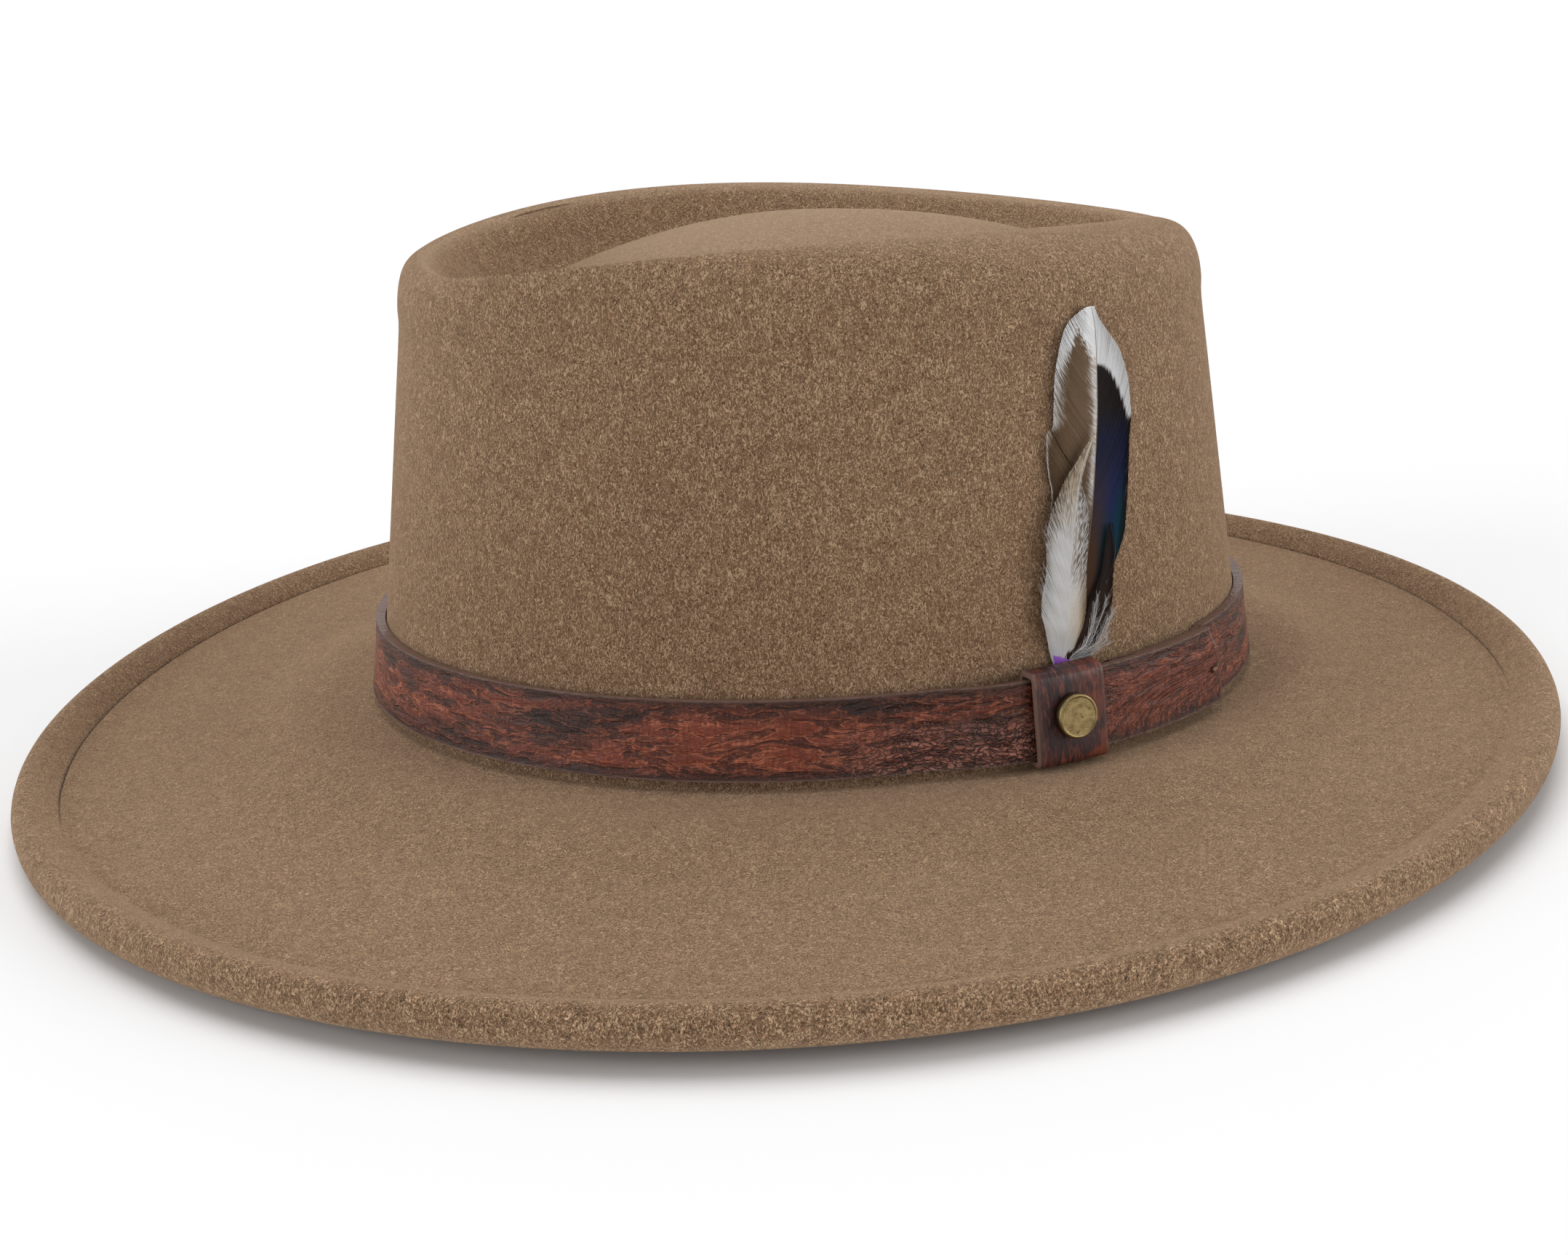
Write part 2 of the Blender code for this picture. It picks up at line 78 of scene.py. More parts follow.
STRAP_END, TACK_ANGLE, TACK_H = -38.0, -40.0, 0.0077
KEEPER_W, STUD_H = 0.017, 0.0084
SWEAT_HIGH, SWEAT_T, REED_R = 0.036, 0.0010, 0.0010
LINING_HIGH, BOW_H = 0.0760, 0.0150
REED_OFF, REED_H, SWEAT_OFF = -FELT - 0.0003 - REED_R, 0.0020, -0.0034

MM = 0.001
STEPS = 400                # steps round the hat in the fine meshes
CREST_ROW = 36             # the felt's row along the crest of the rim, counted from the dome's top


# ---- small helpers ------------------------------------------------------------------------------
def points(x, y, z):
    """One array of points from coordinates that may be arrays or numbers."""
    return np.stack(np.broadcast_arrays(x, y, z), axis=-1).astype(float)


def clamp(value):
    return np.clip(value, 0.0, 1.0)


def ease(value):
    """From 0 to 1 with a soft start and end."""
    value = clamp(value)
    return value * value * (3.0 - 2.0 * value)


def unit(v):
    return v / np.linalg.norm(v, axis=-1, keepdims=True)


def turns(count):
    """Angles all the way round, in equal steps."""
    return np.linspace(0.0, 2.0 * math.pi, count, endpoint=False)


def through(rows, parts):
    """More rows on a smooth curve through the given ones, with `parts` steps between neighbours."""
    rows = np.asarray(rows, float)
    ends = np.concatenate([2 * rows[:1] - rows[1:2], rows, 2 * rows[-1:] - rows[-2:-1]])
    made = []
    for i in range(len(rows) - 1):
        a, b, c, d = ends[i:i + 4]
        for k in range(parts):
            t = k / parts
            made.append(0.5 * (2 * b + (c - a) * t + (2 * a - 5 * b + 4 * c - d) * t ** 2
                               + (3 * b - a - 3 * c + d) * t ** 3))
    made.append(rows[-1])
    return np.array(made)


def linked(name, data):
    """An object of the given data, in the scene."""
    made = bpy.data.objects.new(name, data)
    bpy.context.scene.collection.objects.link(made)
    return made


def mesh_object(name, corners, faces, body, finish, sharp=None, turn_out=False):
    """A mesh from points and faces that rides on a body and takes its finish from a slot."""
    data = bpy.data.meshes.new(name)
    data.from_pydata(np.asarray(corners, float).reshape(-1, 3).tolist(), [], faces)
    data.validate()
    if turn_out:
        work = bmesh.new()
        work.from_mesh(data)
        bmesh.ops.recalc_face_normals(work, faces=work.faces)
        work.to_mesh(data)
        work.free()
    piece = linked(name, data)
    data.shade_smooth()
    if sharp:
        data.set_sharp_from_angle(angle=math.radians(sharp))
    data.materials.append(finish)
    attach(piece, body)
    return piece


def grid_faces(rows, columns, around=True, loop=False, first=0, ends=False):
    """Quads between rows of points, the first of which has the number `first`.

    `around` closes each row, `loop` joins the last row to the first, and `ends` closes what is left
    open with two flat faces.
    """
    faces = []
    for r in range(rows if loop else rows - 1):
        for c in range(columns if around else columns - 1):
            d = (c + 1) % columns
            s = (r + 1) % rows
            faces.append((first + r * columns + c, first + r * columns + d,
                          first + s * columns + d, first + s * columns + c))
    if ends and around:
        faces.append([first + c for c in range(columns)][::-1])
        faces.append([first + (rows - 1) * columns + c for c in range(columns)])
    elif ends:
        faces.append([first + r * columns for r in range(rows)])
        faces.append([first + (r + 1) * columns - 1 for r in range(rows)][::-1])
    return faces


def stamp(piece, name, values):
    """Stores a number or a vector at each point, for the materials to read."""
    values = np.asarray(values, np.float32)
    kind = "FLOAT" if values.ndim == 1 else "FLOAT_VECTOR"
    layer = piece.data.attributes.new(name, kind, "POINT")
    layer.data.foreach_set("value" if values.ndim == 1 else "vector", values.ravel())


def noise_field(x, y, seed=0.0):
    """Smooth noise from -1 to 1 at pairs of coordinates."""
    flat = [noise.noise(Vector((a, b, seed))) for a, b in zip(np.ravel(x), np.ravel(y))]
    return np.array(flat).reshape(np.shape(x))


# ---- the crown's frame --------------------------------------------------------------------------
def crown(x, y, z):
    """From the crown's frame to the hat's frame."""
    side = math.cos(LEAN_SIDE) * y + math.sin(LEAN_SIDE) * z
    rise = -math.sin(LEAN_SIDE) * y + math.cos(LEAN_SIDE) * z
    return points(math.cos(LEAN) * x + math.sin(LEAN) * rise + HEAD_SHIFT, side,
                  -math.sin(LEAN) * x + math.cos(LEAN) * rise + HEAD_LIFT)


def wall(angle, height, off=0.0):
    """A point on the crown's wall, a distance off its outer face."""
    return crown((HEAD_X - TAPER_X * height + off) * np.cos(angle),
                 (HEAD_Y - TAPER_Y * height + off) * np.sin(angle), height)


def rim_crest(angle, tilt=RIM_TILT):
    """The top line of the rim, in the crown's frame.

    On the near side the tilt lowers its front and lifts its back.
    """
    middle, half = (RIM_BACK - RIM_FRONT) / 2.0, (RIM_BACK + RIM_FRONT) / 2.0
    side = np.sin(angle)
    rise = side ** 2 * (RIM_SIDE_RISE - RIM_SKEW * np.cos(angle))
    rise = rise + tilt * np.cos(angle) * ease(-side / 0.5)
    return points(middle + half * np.cos(angle), RIM_SIDE * side * (1.0 - RIM_EGG * np.cos(angle)),
                  RIM_END_Z + rise)


def moat_bottom(angle):
    """The bottom line of the groove between the rim and the dome, in the crown's frame."""
    crest = rim_crest(angle, 0.0)
    reach = crest[..., :2] - (DOME_X, 0.0)
    share = 1.0 - MOAT_INSET / np.linalg.norm(reach, axis=-1)
    depth = MOAT_DEPTH_FRONT + (MOAT_DEPTH_BACK - MOAT_DEPTH_FRONT) * (0.5 + 0.5 * np.cos(angle)) ** 2
    return points(DOME_X + reach[..., 0] * share, reach[..., 1] * share, crest[..., 2] - depth)


def crown_rows(angle):
    """Rows of the crown's outer face from the dome's top down to its foot, in the crown's frame."""
    crest, low = rim_crest(angle), moat_bottom(angle)
    rows = []
    for reach in (0.04, 0.14, 0.28, 0.42, 0.54, 0.66, 0.77, 0.86, 0.93):
        height = low[..., 2] + (DOME_Z - low[..., 2]) * (1.0 - reach ** 2) ** 1.05
        rows.append(points(DOME_X + (low[..., 0] - DOME_X) * reach, low[..., 1] * reach, height))
    rows.append(low + (0.0, 0.0, 0.0004))
    for share, drop in ((0.40, 0.62), (0.74, 0.17)):
        point = low + (crest - low) * share
        point[..., 2] = crest[..., 2] - (crest[..., 2] - low[..., 2]) * drop
        rows.append(point)
    rows.append(crest)
    shoulder = points((HEAD_X - TAPER_X * WALL_TOP) * np.cos(angle),
                      (HEAD_Y - TAPER_Y * WALL_TOP) * np.sin(angle), WALL_TOP)
    for turn in (78.0, 66.0, 55.0, 45.0, 33.0, 22.0, 11.0):
        turn = math.radians(turn)
        inward = 1.0 - math.cos(turn) ** (2.0 / SHOULDER_POWER)
        point = shoulder + (crest - shoulder) * inward
        point[..., 2] = shoulder[..., 2] + (crest - shoulder)[..., 2] * math.sin(turn) ** (
            2.0 / SHOULDER_POWER)
        rows.append(point)
    rows = [crown(*np.moveaxis(row, -1, 0)) for row in rows]
    for height in (WALL_TOP, 0.070, 0.056, 0.042, 0.028, 0.014, 0.004, -0.0006):
        rows.append(wall(angle, height))
    return rows


def crease(angle):
    """The stitched line round the brim, inside its turned edge."""
    height = CREASE_Z + sum(size * np.cos(count * (angle - top)) for count, size, top in CREASE_WAVES)
    reach = 1.0 + BRIM_SKEW * np.sin(2.0 * angle)
    return points(BRIM_X * np.cos(angle) * reach, BRIM_Y * np.sin(angle) * reach, height)


def brim_point(angle, share):
    """A point of the brim's upper face, a share of the way from the crown's foot to the crease."""
    foot, edge = wall(angle, FOOT_Z, 0.0008), crease(angle)
    point = foot + (edge - foot) * share
    fall = 1.0 - (1.0 - share) ** 1.35
    hump = BRIM_HUMP * math.sin(math.pi * min(share / 0.5, 1.0)) ** 2
    point[..., 2] = foot[..., 2] + (edge - foot)[..., 2] * fall + hump
    return point


def welt_point(angle, out, rise):
    """A point of the turned edge: so far outward from the stitched crease, and above it."""
    return crease(angle) + points(out * np.cos(angle), out * np.sin(angle), rise)


# ---- materials ----------------------------------------------------------------------------------
def linear(colour):
    """Screen colours, from 0 to 255, to the linear values shaders take."""
    value = clamp(np.asarray(colour, float) / 255.0)
    return np.where(value <= 0.04045, value / 12.92, ((value + 0.055) / 1.055) ** 2.4)


def srgb(r, g, b):
    """One screen colour as an opaque linear one."""
    return tuple(linear((r, g, b)).tolist()) + (1.0,)


class Nodes:
    """A node tree under construction. Its methods make nodes and return their outputs."""

    def __init__(self, tree):
        self.tree = tree

    def node(self, kind, output=0, settings=(), **inputs):
        """A node of any kind. Inputs are given by name, or by number as i0, i1 and so on."""
        made = self.tree.nodes.new(kind)
        for name, value in dict(settings).items():
            setattr(made, name, value)
        for name, value in inputs.items():
            numbered = name[0] == "i" and name[1:].isdigit()
            socket = made.inputs[int(name[1:]) if numbered else name.replace("_", " ")]
            if isinstance(value, bpy.types.NodeSocket):
                self.tree.links.new(value, socket)
            else:
                socket.default_value = value
        return made.outputs[output]

    def parts(self, vector):
        """The three coordinates of a vector."""
        made = self.tree.nodes.new("ShaderNodeSeparateXYZ")
        self.tree.links.new(vector, made.inputs[0])
        return made.outputs

    def vector(self, operation, *values):
        return self.node("ShaderNodeVectorMath", settings={"operation": operation},
                         **{f"i{k}": value for k, value in enumerate(values)})

    def noise(self, vector, scale, detail=2.0, rough=0.5, distort=0.0, output=0):
        """Cloudy noise. The scale is one number, or a number for each axis."""
        if isinstance(scale, tuple):
            vector, scale = self.vector("MULTIPLY", vector, scale), 1.0
        return self.node("ShaderNodeTexNoise", output, Vector=vector, Scale=scale, Detail=detail,
                         Roughness=rough, Distortion=distort)

    def ramp(self, value, *stops):
        made = self.tree.nodes.new("ShaderNodeValToRGB")
        self.tree.links.new(value, made.inputs[0])
        bar = made.color_ramp
        while len(bar.elements) < len(stops):
            bar.elements.new(0.5)
        for element, (place, colour) in zip(bar.elements, stops):
            element.position = place
            element.color = colour if hasattr(colour, "__len__") else (colour, colour, colour, 1.0)
        return made.outputs[0]

    def mix(self, share, a, b, blend="MIX"):
        return self.node("ShaderNodeMix", 2, {"data_type": "RGBA", "blend_type": blend},
                         i0=share, i6=a, i7=b)

    def math(self, operation, a, b):
        """Arithmetic on two values, held between 0 and 1."""
        return self.node("ShaderNodeMath", 0, {"operation": operation, "use_clamp": True}, i0=a, i1=b)

    def times(self, a, b):
        return self.node("ShaderNodeMath", 0, {"operation": "MULTIPLY"}, i0=a, i1=b)

    def span(self, value, low, high, to_low=0.0, to_high=1.0):
        """From a stretch of values to another one, and level past its ends."""
        return self.node("ShaderNodeMapRange", Value=value, From_Min=low, From_Max=high,
                         To_Min=to_low, To_Max=to_high)


class Paint(Nodes):
    """A material under construction. Keywords set the shader's sockets."""

    def __init__(self, name, **sockets):
        self.material = bpy.data.materials.new(name)
        self.material.use_nodes = True
        super().__init__(self.material.node_tree)
        self.shader = self.tree.nodes["Principled BSDF"]
        for socket, value in sockets.items():
            self.shader.inputs[socket.replace("_", " ")].default_value = value
        self.place = self.node("ShaderNodeTexCoord", "Object")

    def attribute(self, name, output="Fac"):
        return self.node("ShaderNodeAttribute", output, {"attribute_name": name})

    def colour(self, value):
        self.tree.links.new(value, self.shader.inputs["Base Color"])

    def rough(self, value):
        self.tree.links.new(value, self.shader.inputs["Roughness"])

    def bump(self, *layers):
        """Bump from (height, depth in metres) layers, one on the other."""
        normal = None
        for height, depth in layers:
            made = self.tree.nodes.new("ShaderNodeBump")
            made.inputs["Distance"].default_value = depth
            self.tree.links.new(height, made.inputs["Height"])
            if normal is not None:
                self.tree.links.new(normal, made.inputs["Normal"])
            normal = made.outputs[0]
        self.tree.links.new(normal, self.shader.inputs["Normal"])


def felt_paint():
    """Wool felt: short crossing fibres over soft uneven dyeing, coarser on the turned edge.

    The stitched crease has painted shade, and the dome and the fold round it a painted sheen.
    """
    paint = Paint("felt", Roughness=0.92, Specular_IOR_Level=0.10, Sheen_Weight=0.66,
                  Sheen_Roughness=0.36, Sheen_Tint=srgb(236, 204, 172))
    lip, seam = paint.attribute("lip"), paint.attribute("seam")
    nap = paint.noise(paint.place, 1900.0, 2.0, 0.60, 1.8)
    fibres = paint.noise(paint.place, (1500.0, 1500.0, 800.0), 2.0, 0.6, 2.4)
    coarse = paint.noise(paint.place, 950.0, 2.0, 0.55, 1.6)
    clumps = paint.noise(paint.place, 230.0, 3.0, 0.55, 0.4)
    patches = paint.noise(paint.place, 15.0, 4.0, 0.60, 0.2)
    tone = paint.ramp(patches, (0.30, srgb(132, 101, 76)), (0.50, srgb(136, 105, 79)),
                      (0.70, srgb(141, 111, 84)))
    dark, pale = srgb(60, 41, 28), srgb(212, 182, 148)
    pits = paint.ramp(nap, (0.36, 1.0), (0.49, 0.0))
    tone = paint.mix(paint.times(pits, 0.85), tone, dark)
    hairs = paint.ramp(fibres, (0.50, 0.0), (0.60, 1.0))
    tone = paint.mix(paint.times(hairs, 0.68), tone, pale)
    tufts = paint.mix(0.8, tone, paint.ramp(coarse, (0.38, 0.24), (0.62, 0.70)), "OVERLAY")
    tone = paint.mix(paint.span(lip, 0.0, 1.0, 0.25, 0.9), tone, tufts)
    tone = paint.mix(0.6, tone, paint.ramp(clumps, (0.3, 0.44), (0.7, 0.56)), "OVERLAY")
    # painted shade: a dark line, broken by the coarse noise, along the bottom of the stitched crease
    line = paint.times(seam, paint.ramp(coarse, (0.42, 1.0), (0.66, 0.35)))
    tone = paint.mix(line, tone, srgb(48, 34, 26))
    # painted sheen: the dome and the fold round it, marked by the crest attribute, are painted paler
    tone = paint.mix(paint.times(paint.attribute("crest"), 0.22), tone, srgb(206, 178, 148))
    paint.colour(tone)
    paint.bump((fibres, 0.00022), (nap, 0.00030), (coarse, 0.00012))
    return paint.material


# ---- felt body ----------------------------------------------------------------------------------
# in mm, how far out from the stitched crease, then the height there on the far half of the brim and
# on the near half, where the nap has closed over the stitches
WELT_SECTION = ((-1.0, 0.0, 0.5), (-0.3, -0.1, 0.8), (0.0, -0.9, 1.0), (0.3, -0.1, 1.2),
                (1.0, 0.8, 1.6), (2.2, 1.9, 2.3), (3.8, 3.1, 3.2), (6.6, 4.2, 4.0), (8.8, 3.5, 3.3),
                (10.0, 0.8, 0.8), (9.6, -2.2, -2.2), (8.2, -4.1, -4.1), (6.2, -4.8, -4.8),
                (2.8, -4.8, -4.8), (-3.2, -4.6, -4.6))
BRIM_SHARES = (0.0, 0.045, 0.09, 0.145, 0.20, 0.28, 0.36, 0.46, 0.56, 0.67, 0.78, 0.88, 0.955)


def near_side(angle):
    """1 on the side where the crease is closed over, 0 where it shows."""
    return ease((-0.06 - np.sin(angle)) / 0.34)


def felt_body(finish):
    """Crown, brim and turned edge in one closed skin."""
    angle = turns(STEPS)
    near = near_side(angle)
    rows = through(crown_rows(angle), 3)
    edge_rows = []
    for share in BRIM_SHARES:
        row = brim_point(angle, share)
        row[..., 2] += 0.0005 * near * ease((share - 0.75) / 0.25)
        edge_rows.append(row)
    for out, rise_far, rise_near in np.array(WELT_SECTION) * MM:
        edge_rows.append(welt_point(angle, out, rise_far + (rise_near - rise_far) * near))
    edge_rows = through(edge_rows, 3)
    split = 3 * (len(BRIM_SHARES) - 1) + 1    # where the brim's rows end and those of its edge begin
    brim, welt = edge_rows[:split], edge_rows[split:]
    outer = np.concatenate([rows, brim])
    top = crown(DOME_X, 0.0, DOME_Z)
    before = np.concatenate([np.broadcast_to(top, (1, STEPS, 3)), outer[:-1]])
    after = np.concatenate([outer[1:], welt[:1]])
    across = np.roll(outer, -1, 1) - np.roll(outer, 1, 1)
    normal = unit(np.cross(after - before, across))
    inner = outer - normal * FELT
    inner[-1] = outer[-1] - (0.0, 0.0, FELT)
    inner = inner[::-1][::2]
    grid = np.concatenate([outer, welt, inner])
    faces = grid_faces(len(grid), STEPS)
    count = len(grid) * STEPS
    corners = np.concatenate([grid.reshape(-1, 3), [top, top - (0.0, 0.0, FELT)]])
    last = count - STEPS
    # the two faces of the dome end in fans
    for c in range(STEPS):
        d = (c + 1) % STEPS
        faces.append((count, d, c))
        faces.append((count + 1, last + c, last + d))
    body = mesh_object("felt_body_fine", corners, faces, "hat", finish)
    out = np.linalg.norm(grid[..., :2], axis=-1) - np.linalg.norm(crease(angle)[:, :2], axis=-1)
    above = ease((grid[..., 2] - crease(angle)[:, 2] + 0.0025) / 0.001)
    # seam marks the bottom of the stitched crease on the far half of the brim, where its shade is painted
    seam = np.exp(-(out / 0.00024) ** 2) * above * (1.0 - near)
    stamp(body, "seam", np.append(seam.ravel(), (0.0, 0.0)))
    # the dome and the fold round it are painted paler, a painted sheen where light grazes the felt
    crest = np.zeros(grid.shape[:2])
    row = np.arange(CREST_ROW + 4)[:, None]
    fold = np.exp(-((row - CREST_ROW + 1.0) / 1.3) ** 2)
    dome = ease((outer[:len(row), :, 2] - 0.108) / 0.008) * ease((CREST_ROW - 6.0 - row) / 3.0)
    crest[:len(row)] = np.maximum(dome, 1.5 * fold)
    stamp(body, "crest", np.append(crest.ravel(), (1.0, 0.0)))
    stamp(body, "lip", np.append(ease((out - 0.004) / 0.004).ravel(), (0.0, 0.0)))
    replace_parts(body, "felt_body")


def stitch_ring(name, place, across_way, count, finish, thick, sag=0.0, draw=None):
    """A ring of separate stitches. place(turn) gives their line, and across_way(turn) points off it."""
    sides, steps, gap = 6, 7, 0.14
    turn = turns(count)[:, None] + np.linspace(gap, 1.0 - gap, steps)[None] * (2.0 * math.pi / count)
    share = np.linspace(0.0, 1.0, steps)[None]
    arch = np.sin(math.pi * share)
    middle = place(turn) + points(0.0, 0.0, 1.0) * (sag * (arch - 0.6))[..., None]
    radius = thick * (0.55 + 0.45 * arch)
    if draw:
        radius = radius * draw.uniform(0.8, 1.2, (count, 1))
    out = across_way(turn)
    ahead = unit(place(turn + 0.001) - place(turn - 0.001))
    side = unit(np.cross(ahead, out))
    spin = turns(sides)
    grid = middle[:, :, None] + radius[..., None, None] * (
        np.cos(spin)[:, None] * out[:, :, None] + np.sin(spin)[:, None] * side[:, :, None])
    faces = []
    for k in range(count):
        first = k * steps * sides
        faces += grid_faces(steps, sides, first=first, ends=True)
    return mesh_object(name, grid, faces, "hat", finish)


def thread_paint(name, tint, light):
    """Thread with a fine twist."""
    paint = Paint(name, Roughness=0.8, Sheen_Weight=0.2)
    place = paint.vector("MULTIPLY", paint.place, (1.0, 1.0, 1.4))
    twist = paint.node("ShaderNodeTexWave", Vector=place, Scale=900.0, Distortion=2.0, Detail=1.0)
    paint.colour(paint.ramp(twist, (0.2, tint), (0.8, light)))
    paint.bump((twist, 0.00008))
    return paint.material


def welt_stitches(finish):
    """The stitches that hold the turned edge, sunk in their crease."""
    stitches = stitch_ring("welt_stitches", lambda turn: crease(turn) - (0.0, 0.0, 0.00042),
                           lambda turn: points(np.cos(turn), np.sin(turn), 0.0), 430, finish,
                           thick=0.00019, sag=0.00012, draw=np.random.default_rng(5))
    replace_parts(stitches, "welt_stitching")


def tack_bar(finish, hole_shade_finish):
    """The stitch that holds the lapped end down: a short bar of thread wound across the strap's face."""
    steps, sides = 57, 12
    t = np.linspace(-1.0, 1.0, steps)[:, None]
    spin = turns(sides)[None, :]
    angle = math.radians(TACK_ANGLE) + 0.0010 * t / HEAD_X + 0.0 * spin
    taper = np.sqrt(np.clip(1.0 - np.abs(t) ** 5, 0.05, 1.0)) * (1.0 + 0.16 * np.sin(spin + t * 22.0))
    height = TACK_H + 0.00040 * taper * np.sin(spin)
    off = LAP_OFF + BAND_T + 0.00020 + 0.00030 * taper * np.cos(spin)
    faces = grid_faces(steps, sides, ends=True)
    bar = mesh_object("tack_bar", wall(angle, height, off), faces, "hat", finish,
                      turn_out=True)
    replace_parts(bar, "band_tack")
    # two dark discs at the bar's ends: painted shade where the needle holes are
    ball = np.linspace(0.0, math.pi, 9)[1:-1, None]
    for name, side in (("tack_hole_shade_front", -1.0), ("tack_hole_shade_back", 1.0)):
        along = side * 0.00100 + 0.00062 * np.sin(ball) * np.cos(spin)
        grid = wall(math.radians(TACK_ANGLE) + along / HEAD_X,
                    TACK_H + 0.00070 * np.sin(ball) * np.sin(spin),
                    LAP_OFF + BAND_T + 0.00012 * np.cos(ball) + 0.0 * spin)
        faces = grid_faces(len(ball), sides, ends=True)
        mesh_object(name, grid, faces, "hat", hole_shade_finish, turn_out=True)


# ---- leather band -------------------------------------------------------------------------------
def band_offset(degrees):
    """How far off the wall the strap's back lies, near the lap."""
    return BAND_OFF + (LAP_OFF - BAND_OFF) * ease((degrees - (STUD_ANGLE - 16.5)) / 8.5)


def strap_section(low, high, soft, count):
    """Height, depth and edge share of points round a strap's section, from its back over its face.

    The depth is a share of the strap's thickness.
    """
    turn = np.radians(np.linspace(0.0, 90.0, 5))
    face = np.linspace(low + soft, high - soft, count)[1:-1]
    # the first and last point are on the back, and the points crowd toward the edges of the face
    height = np.concatenate([[low + 0.0004], low + soft * (1 - np.sin(turn[::-1])), face,
                             high - soft * (1 - np.sin(turn)), [high - 0.0004]])
    depth = np.concatenate([[0.0], 1.0 - soft * (1 - np.cos(turn[::-1])), np.ones(len(face)),
                            1.0 - soft * (1 - np.cos(turn)), [0.0]])
    edge = np.concatenate([[1.0], [1.0, 1.0, 0.9, 0.45, 0.1], np.zeros(len(face)),
                           [0.1, 0.45, 0.9, 1.0, 1.0], [1.0]])
    return height, depth, edge


def hat_band(finish):
    """The strap round the crown, creased by wear, with its free end lapped through the keeper."""
    stations = 1300
    height, depth, edge = strap_section(BAND_LOW, BAND_HIGH, 0.0006, 30)
    height, depth, edge = height[:, None], depth[:, None], edge[:, None]
    share = np.linspace(0.0, 1.0, stations)[None, :]
    middle = (BAND_LOW + BAND_HIGH) / 2.0
    rise = (height - BAND_LOW) / (BAND_HIGH - BAND_LOW)
    cut = 1.9 * ease((rise - 0.62) / 0.38) + 0.5 * ease((0.16 - rise) / 0.16)    # degrees
    end = 360.0 + STRAP_END - cut * ease((share - 0.965) / 0.035)
    degrees = LAP_START_ANGLE + (end - LAP_START_ANGLE) * share
    thick = 0.001 + (BAND_T - 0.001) * ease((degrees - LAP_START_ANGLE) / 8.0)
    thick = thick - 0.0004 * ease((share - 0.9985) / 0.0015)
    off = np.where(degrees > 180.0, band_offset(degrees - 360.0), BAND_OFF)
    hollow = 0.00018 * (1.0 - ((height - middle) / (BAND_HIGH - middle)) ** 2)
    angle = np.radians(degrees)
    length = np.hypot(HEAD_X * np.sin(angle), HEAD_Y * np.cos(angle))
    step = np.diff(angle, axis=1, prepend=angle[:, :1])
    along = np.cumsum(length * step, axis=1)
    stud_turn = math.radians(360.0 + STUD_ANGLE)
    zero = np.array([np.interp(stud_turn, a, s) for a, s in zip(angle, along)])[:, None]
    along = along - zero
    tucked = ease((STRAP_END - 0.8 - degrees) / 1.5) * (share < 0.5)
    height = height - 0.0007 * rise * tucked
    face = clamp(1.0 - edge * 1.6)
    inside = ease((rise - 0.05) / 0.12) * ease((0.95 - rise) / 0.12) * ease((0.998 - share) / 0.01)
    crease_size = (0.00006 + 0.00008 * ease((along - 0.006) / 0.01)) * inside
    waves = noise_field(along * 120.0, height * 620.0 + along * 22.0) + 0.5 * noise_field(
        along * 260.0, height * 1000.0, 7.0)
    skin_off = off + depth * (thick - hollow * face) + face * crease_size * waves
    grid = wall(angle, height, skin_off)
    rows, columns = height.shape
    faces = grid_faces(rows, columns, around=False, loop=True, ends=True)
    strap = mesh_object("strap", grid, faces, "hat", finish, sharp=50.0)
    stamp(strap, "strap", points(along, height, 0.0).reshape(-1, 3))
    ends = np.maximum(np.broadcast_to(edge, along.shape), ease((share - 0.9975) / 0.002))
    stamp(strap, "edge", ends.ravel())
    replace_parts(strap, "hat_band")


